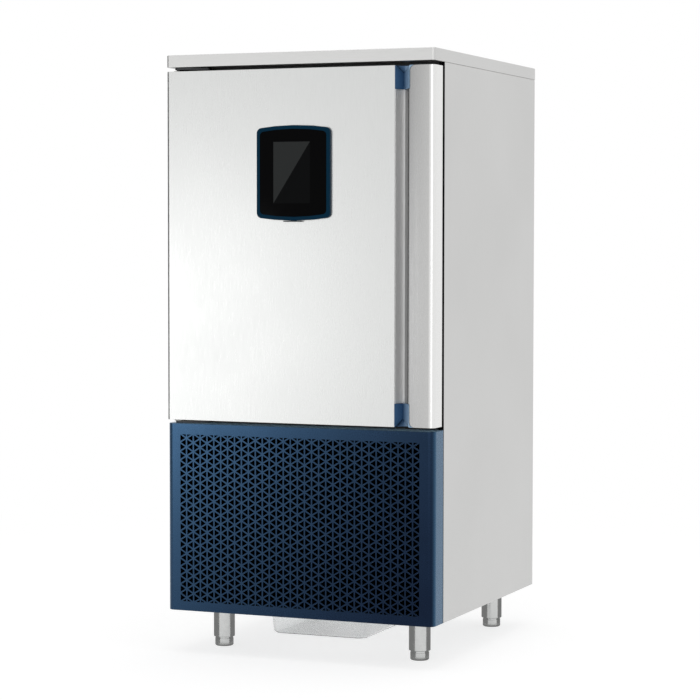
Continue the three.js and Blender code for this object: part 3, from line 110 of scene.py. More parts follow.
# The drip tray: the sheet of its floor and of its rim.
TRAY_SHEET = 2.0 * MM
TRAY_RIM_SHEET = 2.4 * MM
TRAY_CORNER_STEPS = 10

# The strips behind the handle's end caps, and the caps' rear corners in plan.
STRIP_GAP = 0.2 * MM
STRIP_SHEET = 1.4 * MM
STRIP_SINK = 0.1 * MM
STRIP_PAST_CAP = 0.75 * MM
CAP_LEFT_RADIUS = 24.8 * MM
CAP_LEFT_ARC_END = 172          # degrees
CAP_RIGHT_RADIUS = 12.75 * MM

# Painted shade: a black strip on the side panels' front folds, which stands for the shadow in the gap
# beside the door, ends here, 4 mm behind the cabinet's face.
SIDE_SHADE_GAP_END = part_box("right_side_panel")[0].y + 4 * MM
SIDE_SHADE_GAP_BLUR = 0.2 * MM

# Grey cards round each foot and a disc under it, which only reflections see. The arcs are in
# degrees from the front towards the right.
CARD_RADIUS = 65 * MM
CARD_ARCS = ((-170, -19), (78, 176))
CARD_STEPS = 8
CARD_BOTTOM = 1 * MM
CARD_TOP = 112 * MM
CARD_DISC_HEIGHT = 0.5 * MM
CARD_DISC_SIDES = 32
CARD_TONE = 0.28

# Lamps: place, target, width and height in metres, and radiance, of which 1 is as bright as white.
SOFTBOXES = {
    "key_left": ((-3.6, -5.6, 0.65), (0, 0, 0.9), 2.2, 1.3, 1.9),
    "front_right": ((2.6, -7.6, 1.4), (0.39, -0.4, 1.0), 3.6, 2.2, 1.5),
    "overhead": ((0.2, -0.4, 4.4), (0, 0, 0), 3.2, 3.2, 1.0),
}
WORLD_LIGHT = 0.5

# A black card, which darkens what faces left: place, target, width and height, and tone.
LEFT_FLAG = ((-4.35, -1.16, 0.9), (0, 0, 0.9), 4.2, 3.0, 0.01)

# The floor: from where to where its shadow fades into white, as distances from the middle. The
# first tone lights the object, and the second and the glow are what is seen.
FLOOR_SIZE = 18
FLOOR_NEAR = 1.6
FLOOR_FAR = 3.2
FLOOR_LIGHTING_TONE = 0.82
FLOOR_SHADED_TONE = 0.46
FLOOR_GLOW = 0.74

# The coils: thin fins on rows of tubes, between two end plates.
FIN_PITCH = 4 * MM
FIN_SHEET = 0.4 * MM
FIN_END_SHEET = 1.5 * MM
COIL_TUBE_RADIUS = 4.8 * MM
COIL_TUBE_SPACING = 25 * MM
COIL_TUBE_SIDES = 14
COIL_TUBE_END_GAP = 0.2 * MM

# The screen behind the display's glass, from the middle of the glass.
SCREEN_MIDDLE_X = -3.8 * MM
SCREEN_HALF_WIDTH = 53.8 * MM
SCREEN_HALF_HEIGHT = 82.8 * MM
SCREEN_MIDDLE_Z = 0.9 * MM

# ---- Materials ----


def linear(hex_colour):
    """A colour written as in a web page, as linear values from 0 to 1."""
    channels = [(hex_colour >> shift & 255) / 255 for shift in (16, 8, 0)]
    return tuple(c / 12.92 if c <= 0.04045 else ((c + 0.055) / 1.055) ** 2.4 for c in channels)


# How a texture is stretched so that its streaks run along an axis.
GRAIN_ALONG = {"x": (1.5, 60, 60), "y": (60, 1.5, 60), "z": (60, 60, 1.5)}


class Nodes:
    """A node tree of one material, wired in short lines."""

    def __init__(self, name):
        self.material = bpy.data.materials.new(name)
        self.material.use_nodes = True
        self.tree = self.material.node_tree
        self.shader = self.tree.nodes["Principled BSDF"]

    def add(self, kind, **settings):
        node = self.tree.nodes.new(kind)
        for key, value in settings.items():
            setattr(node, key, value)
        return node

    def wire(self, source, target):
        self.tree.links.new(source, target)

    def coordinates(self, scale=(1, 1, 1)):
        place = self.add("ShaderNodeTexCoord")
        mapping = self.add("ShaderNodeMapping")
        mapping.inputs["Scale"].default_value = scale
        self.wire(place.outputs["Object"], mapping.inputs["Vector"])
        return mapping.outputs["Vector"]

    def axes(self):
        """The surface's place at rest, in metres, as outputs X, Y and Z."""
        place = self.add("ShaderNodeTexCoord")
        split = self.add("ShaderNodeSeparateXYZ")
        self.wire(place.outputs["Object"], split.inputs["Vector"])
        return split.outputs

    def noise(self, scale, stretch=(1, 1, 1), detail=3.0, roughness=0.55):
        texture = self.add("ShaderNodeTexNoise")
        texture.inputs["Scale"].default_value = scale
        texture.inputs["Detail"].default_value = detail
        texture.inputs["Roughness"].default_value = roughness
        self.wire(self.coordinates(stretch), texture.inputs["Vector"])
        return texture.outputs["Fac"]

    def grain(self, axis):
        """The fine streaks of brushed sheet."""
        return self.noise(14, GRAIN_ALONG[axis], detail=4, roughness=0.7)

    def skin(self, scale=320):
        """The fine skin of paint and of moulded plastic."""
        return self.noise(scale, detail=3, roughness=0.6)

    def spread(self, value, low, high, start=0.3, end=0.7):
        """A value from start to end, spread over low to high."""
        ranged = self.add("ShaderNodeMapRange")
        ranged.inputs["From Min"].default_value = start
        ranged.inputs["From Max"].default_value = end
        ranged.inputs["To Min"].default_value = low
        ranged.inputs["To Max"].default_value = high
        self.wire(value, ranged.inputs["Value"])
        return ranged.outputs["Result"]

    def blend(self, factor, first, second):
        mix = self.add("ShaderNodeMix", data_type="RGBA")
        self.wire(factor, mix.inputs["Factor"])
        for socket, colour in ((mix.inputs["A"], first), (mix.inputs["B"], second)):
            if isinstance(colour, tuple):
                socket.default_value = (*colour, 1)
            else:
                self.wire(colour, socket)
        return mix.outputs["Result"]

    def math(self, operation, first, second=None):
        node = self.add("ShaderNodeMath", operation=operation)
        for socket, value in zip(node.inputs, (first, second)):
            if value is None:
                continue
            if isinstance(value, (int, float)):
                socket.default_value = value
            else:
                self.wire(value, socket)
        return node.outputs["Value"]

    def set(self, **values):
        """Sets constants on the shader's own sockets."""
        for name, value in values.items():
            self.shader.inputs[name.replace("_", " ")].default_value = value

    def colour(self, output):
        self.wire(output, self.shader.inputs["Base Color"])

    def rough(self, output):
        self.wire(output, self.shader.inputs["Roughness"])

    def bump(self, height, distance, strength=1.0):
        node = self.add("ShaderNodeBump")
        node.inputs["Distance"].default_value = distance
        node.inputs["Strength"].default_value = strength
        self.wire(height, node.inputs["Height"])
        self.wire(node.outputs["Normal"], self.shader.inputs["Normal"])


def shaded(colour, share):
    return tuple(min(1.0, channel * share) for channel in colour)


def brushed_metal(name, hex_colour, roughness, grain="z", spread=0.07, depth=0.02 * MM, tone=0.06,
                  shade_gap_end=None):
    """Sheet metal with a fine grain along one axis, and faint wide bands in its gloss.

    Where the end of the painted shade is given, a black strip of painted shade, for the shadow in the gap
    beside the door, covers the sheet in front of that Y.
    """
    look = Nodes(name)
    base = linear(hex_colour)
    look.set(Metallic=1.0)
    fine = look.grain(grain)
    wide = look.noise(2.2, detail=2)
    steel = look.blend(look.spread(fine, 0, 1), shaded(base, 1 - tone), shaded(base, 1 + tone / 2))
    # Painted shade: black over the front fold, for the shadow in the gap beside the door.
    if shade_gap_end is not None:
        in_shade_gap = look.spread(look.axes()["Y"], 0, 1, shade_gap_end - SIDE_SHADE_GAP_BLUR, shade_gap_end + SIDE_SHADE_GAP_BLUR)
        steel = look.blend(in_shade_gap, linear(0x0c0c0d), steel)
    look.colour(steel)
    look.rough(look.math("ADD", look.spread(fine, roughness - spread, roughness + spread),
                         look.spread(wide, -spread / 2, spread / 2)))
    look.bump(fine, depth, 0.35)
    return look.material


def turned_metal(name, hex_colour, roughness):
    """Polished or machined metal with fine rings round Z and a few rubbed places."""
    look = Nodes(name)
    base = linear(hex_colour)
    look.set(Metallic=1.0)
    rings = look.noise(40, (0.4, 0.4, 14), detail=3)
    worn = look.noise(55, detail=5, roughness=0.7)
    look.colour(look.blend(look.spread(worn, 0, 1), shaded(base, 0.92), base))
    look.rough(look.math("ADD", look.spread(rings, roughness - 0.05, roughness + 0.05),
                         look.spread(worn, 0, 0.06, 0.5, 0.75)))
    look.bump(rings, 0.01 * MM, 0.3)
    return look.material


def spangled_metal(name, hex_colour, roughness):
    """Galvanised sheet with its crystals."""
    look = Nodes(name)
    base = linear(hex_colour)
    look.set(Metallic=0.85)
    crystals = look.add("ShaderNodeTexVoronoi", feature="F1")
    crystals.inputs["Scale"].default_value = 70
    look.wire(look.coordinates(), crystals.inputs["Vector"])
    grey = look.add("ShaderNodeRGBToBW")
    look.wire(crystals.outputs["Color"], grey.inputs["Color"])
    look.colour(look.blend(grey.outputs["Val"], shaded(base, 0.86), shaded(base, 1.1)))
    look.rough(look.spread(grey.outputs["Val"], roughness - 0.1, roughness + 0.08, 0, 1))
    look.bump(look.noise(30, detail=2), 0.05 * MM, 0.3)
    return look.material


def coated(name, hex_colour, roughness, peel=0.02 * MM, scale=320, specular=0.5):
    """Paint, plastic or rubber: a fine skin of orange peel or moulding grain, and faint clouds."""
    look = Nodes(name)
    base = linear(hex_colour)
    look.set(Specular_IOR_Level=specular)
    clouds = look.noise(9, detail=4)
    skin = look.skin(scale)
    look.colour(look.blend(look.spread(clouds, 0, 1), shaded(base, 0.94), shaded(base, 1.06)))
    look.rough(look.math("ADD", look.spread(skin, roughness - 0.04, roughness + 0.04),
                         look.spread(clouds, -0.03, 0.03)))
    look.bump(skin, peel, 0.4)
    return look.material


def navy():
    """The panel's navy paint, with a painted highlight: deeper towards the lower right, and lighter round
    its right bend, where a reflection is painted.
    """
    look = Nodes("navy_paint")
    low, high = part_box("lower_front_panel")
    axes = look.axes()
    # Painted highlight: lighter towards the upper left and deeper towards the lower right.
    leftward = look.spread(axes["X"], 0.65, 0.0, low.x, high.x - 30 * MM)
    upward = look.spread(axes["Z"], 0.0, 0.35, low.z, high.z)
    painted_highlight = look.math("POWER", look.math("ADD", leftward, upward), 1.7)
    clouds = look.noise(9, detail=4)
    skin = look.skin()
    paint = look.blend(painted_highlight, linear(0x0c1c33), linear(0x3b5c7c))
    paint = look.blend(look.spread(clouds, 0, 0.08), paint, linear(0x2a4566))
    # Painted reflection: lighter round the right bend.
    rightward = look.spread(axes["X"], 0.0, 1.0, high.x - 0.4 * PANEL_CORNER, high.x)
    bend = look.math("POWER", rightward, 2.0)
    look.colour(look.blend(bend, paint, linear(0x3e6484)))
    look.rough(look.math("ADD", look.spread(skin, 0.23, 0.31), look.spread(clouds, -0.03, 0.03)))
    look.bump(skin, 0.01 * MM, 0.3)
    look.set(Metallic=0.6, Specular_IOR_Level=0.15, Sheen_Weight=0.5, Sheen_Roughness=0.3)
    look.set(Sheen_Tint=(0.5, 0.78, 1.0, 1))
    return look.material


def foam():
    """Pale yellow foam with fine cells."""
    look = Nodes("insulation_foam")
    cells = look.add("ShaderNodeTexVoronoi", feature="F1")
    cells.inputs["Scale"].default_value = 420
    look.wire(look.coordinates(), cells.inputs["Vector"])
    clouds = look.noise(14, detail=4)
    base = linear(0xd8c48a)
    look.colour(look.blend(look.spread(clouds, 0, 1), shaded(base, 0.85), shaded(base, 1.05)))
    look.rough(look.spread(clouds, 0.86, 0.98))
    look.bump(cells.outputs["Distance"], 0.5 * MM, 0.6)
    return look.material


def display_glass_look():
    """Black glass over a dark screen, with a painted reflection that makes the screen's upper left half a
    little lighter.
    """
    look = Nodes("display_glass_black")
    low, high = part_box("display_glass")
    middle = (low + high) / 2
    axes = look.axes()
    across = look.math("SUBTRACT", axes["X"], middle.x + SCREEN_MIDDLE_X)
    upward = look.math("SUBTRACT", axes["Z"], middle.z + SCREEN_MIDDLE_Z)
    in_width = look.math("LESS_THAN", look.math("ABSOLUTE", across), SCREEN_HALF_WIDTH)
    in_height = look.math("LESS_THAN", look.math("ABSOLUTE", upward), SCREEN_HALF_HEIGHT)
    on_screen = look.math("MULTIPLY", in_width, in_height)
    # Painted reflection: a lighter glare over the upper left half of the screen.
    diagonal = look.math("MULTIPLY", upward, SCREEN_HALF_WIDTH / SCREEN_HALF_HEIGHT)
    slope = look.math("SUBTRACT", diagonal, across)
    upper_left = look.math("GREATER_THAN", slope, 0.0)
    painted_glare = look.math("MULTIPLY", on_screen, upper_left)
    smudge = look.noise(26, detail=4)
    dark = look.blend(on_screen, linear(0x040405), linear(0x0e0f10))
    look.colour(look.blend(painted_glare, dark, linear(0x353737)))
    look.rough(look.spread(smudge, 0.04, 0.1))
    look.set(Specular_IOR_Level=0.03)
    return look.material


def grip_steel():
    """The grip's polished sheet, with painted reflections: darker towards its nose than round its corner,
    with a painted highlight along the corner and painted shade on the nose's flank.
    """
    look = Nodes("grip_steel")
    look.set(Metallic=1.0)
    fine = look.grain("z")
    low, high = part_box("handle_grip")
    across = look.axes()["X"]
    nose, bend = low.x + 6 * MM, high.x - 14 * MM
    # Painted reflections: darker towards the nose and lighter towards the corner, a painted highlight
    # along the corner, and painted shade on the nose's flank.
    front = look.spread(across, 0, 1, nose, bend)
    edge = look.spread(across, 0, 1, bend - 3 * MM, bend + 4 * MM)
    painted_nose_shade = look.spread(across, 0, 1, nose - 3 * MM, nose + 3 * MM)
    tone = look.blend(front, linear(0x969696), linear(0xb8b8b7))
    tone = look.blend(edge, tone, linear(0xe6e6e5))
    tone = look.blend(painted_nose_shade, linear(0x6c6c6c), tone)
    look.colour(tone)
    look.rough(look.spread(fine, 0.24, 0.34))
    look.bump(fine, 0.02 * MM, 0.3)
    return look.material


def channel_steel():
    """The trough's satin sheet, with painted shade where it runs in under the grip's nose."""
    look = Nodes("channel_steel")
    look.set(Metallic=0.3)
    fine = look.grain("z")
    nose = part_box("handle_grip")[0].x
    # Painted shade: darker where the trough runs in under the grip's nose.
    painted_shade_under_nose = look.spread(look.axes()["X"], 0, 1, nose - 19 * MM, nose - 17 * MM)
    grain = look.blend(look.spread(fine, 0, 1), linear(0xf2f2f1), linear(0xffffff))
    look.colour(look.blend(painted_shade_under_nose, grain, linear(0x949494)))
    look.rough(look.spread(fine, 0.4, 0.55))
    look.bump(fine, 0.02 * MM, 0.3)
    return look.material


def cap_plastic():
    """The end caps' blue plastic, with a painted reflection: a little lighter towards the grip."""
    look = Nodes("cap_plastic")
    look.set(Metallic=0.3, Specular_IOR_Level=0.5)
    low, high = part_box("handle_cap_top")
    width = high.x - low.x
    # Painted reflection: the cap is lighter towards the grip, as its right facets catch the light.
    across = look.spread(look.axes()["X"], 0, 1, low.x + 0.24 * width, low.x + 0.5 * width)
    skin = look.skin()
    look.colour(look.blend(across, linear(0x41668c), linear(0x93b1cd)))
    look.rough(look.spread(skin, 0.26, 0.34))
    look.bump(skin, 0.02 * MM, 0.4)
    return look.material


def tray_plastic():
    """Clear moulded plastic, a little frosted."""
    look = Nodes("clear_plastic")
    clouds = look.noise(7, detail=3)
    look.colour(look.blend(look.spread(clouds, 0, 1), linear(0xfbfcfc), linear(0xffffff)))
    look.rough(look.spread(look.noise(60, detail=3), 0.05, 0.11))
    look.bump(look.noise(40, detail=2), 0.01 * MM, 0.2)
    look.set(Transmission_Weight=0.9, IOR=1.05, Coat_Weight=0.4, Coat_Roughness=0.12)
    return look.material


LOOKS = {
    "door_steel": brushed_metal(
        "door_steel", 0xcfd0cf, 0.30, "z", spread=0.045, depth=0.012 * MM, tone=0.04),
    "grip_steel": grip_steel(),
    "channel_steel": channel_steel(),
    # The side panels carry a black strip of painted shade along their front folds.
    "side_steel": brushed_metal("side_steel", 0xcfcfce, 0.40, "z", shade_gap_end=SIDE_SHADE_GAP_END),
    "rear_steel": brushed_metal("rear_steel", 0xcbcbca, 0.42, "z"),
    "top_steel": brushed_metal("top_steel", 0xcfcfce, 0.38, "x"),
    "satin_steel": brushed_metal("satin_steel", 0xc9cac9, 0.42, "z", tone=0.05),
    "polished_steel": turned_metal("polished_steel", 0xcccdcc, 0.2),
    "bracket_steel": brushed_metal("bracket_steel", 0x4c4d4f, 0.4, "x"),
    "galvanised_steel": spangled_metal("galvanised_steel", 0xa4a8aa, 0.45),
    "navy_paint": navy(),
    "cap_plastic": cap_plastic(),
    "bezel_blue": coated("bezel_blue", 0x002e45, 0.35, peel=0.01 * MM, specular=0.05),
    "flap_blue": coated("flap_blue", 0x001724, 0.45, peel=0.01 * MM, specular=0.03),
    "dark_plastic": coated("dark_plastic", 0x1b1c1e, 0.5),
    "black_paint": coated("black_paint", 0x17181a, 0.38, peel=0.05 * MM, scale=200),
    "grey_rubber": coated("grey_rubber", 0x2b2c2e, 0.72, peel=0.03 * MM, specular=0.3),
    "white_nylon": coated("white_nylon", 0xdedcd4, 0.45),
    "aluminium_fins": brushed_metal("aluminium_fins", 0xb4b8ba, 0.45, "z"),
    "copper_tube": turned_metal("copper_tube", 0xb4693f, 0.3),
    "insulation_foam": foam(),
    "display_glass_black": display_glass_look(),
    "clear_plastic": tray_plastic(),
}

# ---- Pieces ----


def finished(piece, look, body, stands_for=()):
    """Gives a new piece its material and its body, and hides the nodes that it stands for."""
    piece.data.materials.clear()
    piece.data.materials.append(LOOKS[look])
    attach(piece, body)
    if stands_for:
        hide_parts(*stands_for)


def linked(name, data):
    """A new object in the scene."""
    made = bpy.data.objects.new(name, data)
    bpy.context.scene.collection.objects.link(made)
    return made


def mesh_object(name, bm, smooth_angle=40):
    """A mesh object with smooth curves, sharp corners and flat flats."""
    mesh = bpy.data.meshes.new(name)
    bmesh.ops.recalc_face_normals(bm, faces=bm.faces)
    bm.to_mesh(mesh)
    bm.free()
    mesh.polygons.foreach_set("use_smooth", [True] * len(mesh.polygons))
    mesh.set_sharp_from_angle(angle=math.radians(smooth_angle))
    piece = linked(name, mesh)
    weighted = piece.modifiers.new("weighted", "WEIGHTED_NORMAL")
    weighted.keep_sharp = True
    weighted.weight = 60
    return piece


def body_of(node):
    return nodes[node]["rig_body"]


def softened(node, look, edge, smooth_angle=40, corner_angle=30):
    """A piece with a node's own shape, and its corners rounded by edge."""
    bm = bmesh.new()
    bm.from_mesh(nodes[node].data)
    bmesh.ops.remove_doubles(bm, verts=bm.verts, dist=MERGE_DISTANCE)
    bmesh.ops.dissolve_limit(
        bm, angle_limit=math.radians(FLAT_ANGLE), verts=bm.verts, edges=bm.edges,
        use_dissolve_boundaries=False)
    if edge > 0:
        corners = [
            e for e in bm.edges
            if len(e.link_faces) == 2 and e.calc_face_angle(0) > math.radians(corner_angle)]
        bmesh.ops.bevel(
            bm, geom=corners, offset=edge, offset_type="OFFSET", segments=2,
            profile=0.5, affect="EDGES", clamp_overlap=True)
    piece = mesh_object(f"{node}_finished", bm, smooth_angle)
    finished(piece, look, body_of(node), [node])


# ---- The perforated panel ----


def inset_triangle(corners, inset):
    """The triangle whose sides lie inside those of corners by inset. Corners run anticlockwise."""
    lines = []
    for start, end in zip(corners, corners[1:] + corners[:1]):
        along = (end - start).normalized()
        lines.append((start + Vector((-along.y, along.x)) * inset, along))
    points = []
    for (p, u), (q, v) in zip(lines[-1:] + lines[:-1], lines):
        cross = u.x * v.y - u.y * v.x
        t = ((q.x - p.x) * v.y - (q.y - p.y) * v.x) / cross
        points.append(p + u * t)
    return points


def arc(middle, radius, start, end, steps):
    return [
        middle + radius * Vector((math.cos(a), math.sin(a)))
        for a in (start + (end - start) * i / steps for i in range(steps + 1))]


def perforated_panel():
    low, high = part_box("lower_front_panel")
    x0, x1 = low.x + FIELD_SIDE_MARGIN, high.x - FIELD_SIDE_MARGIN
    z0, z1 = low.z + FIELD_BOTTOM_MARGIN, high.z - FIELD_TOP_MARGIN
    step = (x1 - x0) / FIELD_COLUMNS
    rise = (z1 - z0) / FIELD_ROWS
    bm = bmesh.new()

    def quad(a, b, c, d):
        bm.faces.new([bm.verts.new(p) for p in (a, b, c, d)])

    def at(point, depth):
        return Vector((point.x, low.y + depth, point.y))

    def cell(corners):
        turn = (corners[1] - corners[0]).cross(corners[2] - corners[0])
        if turn < 0:
            corners = corners[::-1]
        hole = inset_triangle(corners, FIELD_WEB / 2)
        for i in range(3):
            j = (i + 1) % 3
            for depth in (0, PANEL_SHEET):
                quad(at(corners[i], depth), at(corners[j], depth), at(hole[j], depth), at(hole[i], depth))
            quad(at(hole[i], 0), at(hole[j], 0), at(hole[j], PANEL_SHEET), at(hole[i], PANEL_SHEET))

    def knot(column, level):
        """A point of the lattice; level counts rows from the bottom, and may be a half."""
        return Vector((x0 + column * step, z0 + level * rise))

    for column in range(FIELD_COLUMNS):
        whole, half = (column, column + 1) if column % 2 == 0 else (column + 1, column)
        for row in range(FIELD_ROWS):
            cell([knot(whole, row), knot(whole, row + 1), knot(half, row + 0.5)])
            if row:
                cell([knot(half, row - 0.5), knot(half, row + 0.5), knot(whole, row)])
        cell([knot(whole, 0), knot(half, 0), knot(half, 0.5)])
        cell([knot(whole, FIELD_ROWS), knot(half, FIELD_ROWS), knot(half, FIELD_ROWS - 0.5)])

    def plan(inset):
        """The panel's plan, from its left rear edge round the front to its right rear edge."""
        radius = PANEL_CORNER - inset
        centre_y = low.y + PANEL_CORNER
        left = Vector((low.x + PANEL_CORNER, centre_y))
        right = Vector((high.x - PANEL_CORNER, centre_y))
        front = [Vector((x0 + i * step, low.y + inset)) for i in range(FIELD_COLUMNS + 1)]
        return (
            [Vector((low.x + inset, high.y))]
            + arc(left, radius, math.pi, 1.5 * math.pi, PANEL_CORNER_STEPS)
            + front
            + arc(right, radius, 1.5 * math.pi, 2 * math.pi, PANEL_CORNER_STEPS)
            + [Vector((high.x - inset, high.y))])

    levels = [z0 + row * rise for row in range(FIELD_ROWS + 1)]
    first_front = PANEL_CORNER_STEPS + 2
    last_front = first_front + FIELD_COLUMNS
    # Up from the edge and back from the face, as shares of PANEL_EDGE.
    rounded = [(0.0, 1.0), (0.3, 0.3), (1.0, 0.0)]
    outer_rows = [(low.z + PANEL_EDGE * up, PANEL_EDGE * back) for up, back in rounded]
    outer_rows += [(z, 0.0) for z in levels]
    outer_rows += [(high.z - PANEL_EDGE * up, PANEL_EDGE * back) for up, back in reversed(rounded)]
    inner_rows = [(low.z + PANEL_SHEET, PANEL_SHEET)]
    inner_rows += [(z, PANEL_SHEET) for z in levels]
    inner_rows += [(high.z - PANEL_SHEET, PANEL_SHEET)]
    for rows in (outer_rows, inner_rows):
        for (z_a, inset_a), (z_b, inset_b) in zip(rows, rows[1:]):
            plan_a, plan_b = plan(inset_a), plan(inset_b)
            in_field_rows = z_a in levels and z_b in levels
            for i in range(len(plan_a) - 1):
                if in_field_rows and first_front <= i < last_front:
                    continue
                quad((*plan_a[i], z_a), (*plan_a[i + 1], z_a),
                     (*plan_b[i + 1], z_b), (*plan_b[i], z_b))
        for z, inset in (rows[0], rows[-1]):
            bm.faces.new([bm.verts.new((*p, z)) for p in plan(inset)])
    bmesh.ops.remove_doubles(bm, verts=bm.verts, dist=0.01 * MM)
    rear_edges = [
        e for e in bm.edges
        if len(e.link_faces) == 1 and all(abs(v.co.y - high.y) < 0.05 * MM for v in e.verts)]
    bmesh.ops.bridge_loops(bm, edges=rear_edges)
    piece = mesh_object("lower_front_panel_perforated", bm)
    finished(piece, "navy_paint", "cabinet", ["lower_front_panel"])


perforated_panel()

# ---- Turned pieces ----


def turned(profile, middle):
    """A closed solid of revolution about an upright axis through middle. Profile is [radius, z]."""
    bm = bmesh.new()
    rings = []
    for radius, z in profile:
        if radius < 1e-7:
            rings.append([bm.verts.new((middle.x, middle.y, middle.z + z))])
            continue
        rings.append([
            bm.verts.new((
                middle.x + radius * math.cos(2 * math.pi * i / LATHE_SIDES),
                middle.y + radius * math.sin(2 * math.pi * i / LATHE_SIDES),
                middle.z + z))
            for i in range(LATHE_SIDES)])
    for below, above in zip(rings, rings[1:]):
        for i in range(LATHE_SIDES):
            j = (i + 1) % LATHE_SIDES
            corners = [
                below[i % len(below)], below[j % len(below)],
                above[j % len(above)], above[i % len(above)]]
            bm.faces.new(list(dict.fromkeys(corners)))
    return bm


def rounded_profile(corners, edge):
    """The corners of a profile, each cut back by edge and rounded."""
    points = [Vector(corners[0])]
    for before, corner, after in zip(corners, corners[1:], corners[2:]):
        corner = Vector(corner)
        back = Vector(before) - corner
        ahead = Vector(after) - corner
        reach = min(edge, back.length * 0.45, ahead.length * 0.45)
        start = corner + back.normalized() * reach
        end = corner + ahead.normalized() * reach
        for share in (0, 0.33, 0.67, 1):
            points.append(start * (1 - share) ** 2 + corner * 2 * share * (1 - share) + end * share ** 2)
    points.append(Vector(corners[-1]))
    return points


def feet():
    for end in ("front", "rear"):
        for side in ("left", "right"):
            name = f"{end}_{side}"
            low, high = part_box(f"foot_sleeve_{name}")
            middle = Vector(((low.x + high.x) / 2, (low.y + high.y) / 2, 0))
            flange = (high.x - low.x) / 2
            sleeve = flange - FOOT_FLANGE_REACH
            bottom, top = low.z, high.z
            profile = rounded_profile([
                (FOOT_SOCKET_RADIUS, top), (FOOT_SOCKET_RADIUS, bottom), (sleeve, bottom),
                (sleeve, top - FOOT_FLANGE_HEIGHT), (flange, top - FOOT_FLANGE_HEIGHT),
                (flange, top), (FOOT_SOCKET_RADIUS, top)], FOOT_EDGE)
            profile.append(profile[0])
            piece = mesh_object(f"foot_sleeve_{name}_turned", turned(profile, middle))
            node = f"foot_sleeve_{name}"
            finished(piece, "polished_steel", "cabinet", [node])

            cup_low, cup_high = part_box(f"foot_cup_{name}")
            cup = (cup_high.x - cup_low.x) / 2
            neck = cup - FOOT_CUP_NECK_DEPTH
            shoulder = bottom - FOOT_CUP_GAP
            profile = rounded_profile([
                (0, 0), (cup - FOOT_CUP_CHAMFER, 0), (cup, FOOT_CUP_CHAMFER),
                (cup, shoulder - FOOT_CUP_NECK_HEIGHT), (neck, shoulder - FOOT_CUP_NECK_HEIGHT),
                (neck, shoulder), (FOOT_STUD_RADIUS, shoulder), (FOOT_STUD_RADIUS, cup_high.z),
                (0, cup_high.z)], FOOT_EDGE)
            piece = mesh_object(f"foot_cup_{name}_turned", turned(profile, middle))
            node = f"foot_cup_{name}"
            finished(piece, "polished_steel", body_of(node), [node])


feet()

# ---- The drip tray ----


def rounded_rectangle(half_x, half_y, radius):
    """The outline of a rectangle about the origin, with round corners."""
    points = []
    for quarter in range(4):
        sx = 1 if quarter in (0, 3) else -1
        sy = 1 if quarter in (0, 1) else -1
        middle = Vector((sx * (half_x - radius), sy * (half_y - radius)))
        start = quarter * math.pi / 2
        points += arc(middle, radius, start, start + math.pi / 2, TRAY_CORNER_STEPS)
    return points


def drip_tray():
    """One skin from the middle of the tray's underside, round its rim, to the middle of its floor."""
    low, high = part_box("drip_tray")
    middle = (low + high) / 2
    half_x, half_y = (high.x - low.x) / 2, (high.y - low.y) / 2
    depth = high.z - low.z
    rings = [
        # inset, corner radius, height
        (60 * MM, 10 * MM, 0.0),
        (32 * MM, 22 * MM, 0.0),
        (25 * MM, 26 * MM, 1.5 * MM),
        (20.5 * MM, 29 * MM, 6 * MM),
        (19 * MM, 30 * MM, 12 * MM),
        (12.5 * MM, 36 * MM, depth - 5 * MM),
        (11 * MM, 37 * MM, depth - TRAY_RIM_SHEET),
        (2 * MM, 23 * MM, depth - TRAY_RIM_SHEET),
        (1.2 * MM, 22 * MM, depth - 4 * MM),
        (0.0, 22 * MM, depth - 3.4 * MM),
        (0.0, 22 * MM, depth - 1 * MM),
        (1.0 * MM, 22 * MM, depth),
        (11 * MM, 35 * MM, depth),
        (13.5 * MM, 34 * MM, depth - 1.5 * MM),
        (21 * MM, 28 * MM, 12 * MM),
        (22.6 * MM, 27 * MM, 7 * MM),
        (27 * MM, 24 * MM, 3.4 * MM),
        (34 * MM, 20 * MM, TRAY_SHEET),
        (60 * MM, 10 * MM, TRAY_SHEET),
    ]
    bm = bmesh.new()
    loops = []
    for inset, radius, height in rings:
        outline = rounded_rectangle(half_x - inset, half_y - inset, radius)
        loops.append([
            bm.verts.new((middle.x + p.x, middle.y + p.y, low.z + height)) for p in outline])
    for below, above in zip(loops, loops[1:]):
        count = len(below)
        for i in range(count):
            j = (i + 1) % count
            bm.faces.new((below[i], below[j], above[j], above[i]))
    bm.faces.new(loops[0])
    bm.faces.new(loops[-1])
    piece = mesh_object("drip_tray_moulded", bm, 50)
    finished(piece, "clear_plastic", body_of("drip_tray"), ["drip_tray"])


drip_tray()

# ---- The coils ----


def add_block(bm, low, high):
    for vertex in bmesh.ops.create_cube(bm, size=1)["verts"]:
        vertex.co = Vector(b if share > 0 else a for share, a, b in zip(vertex.co, low, high))


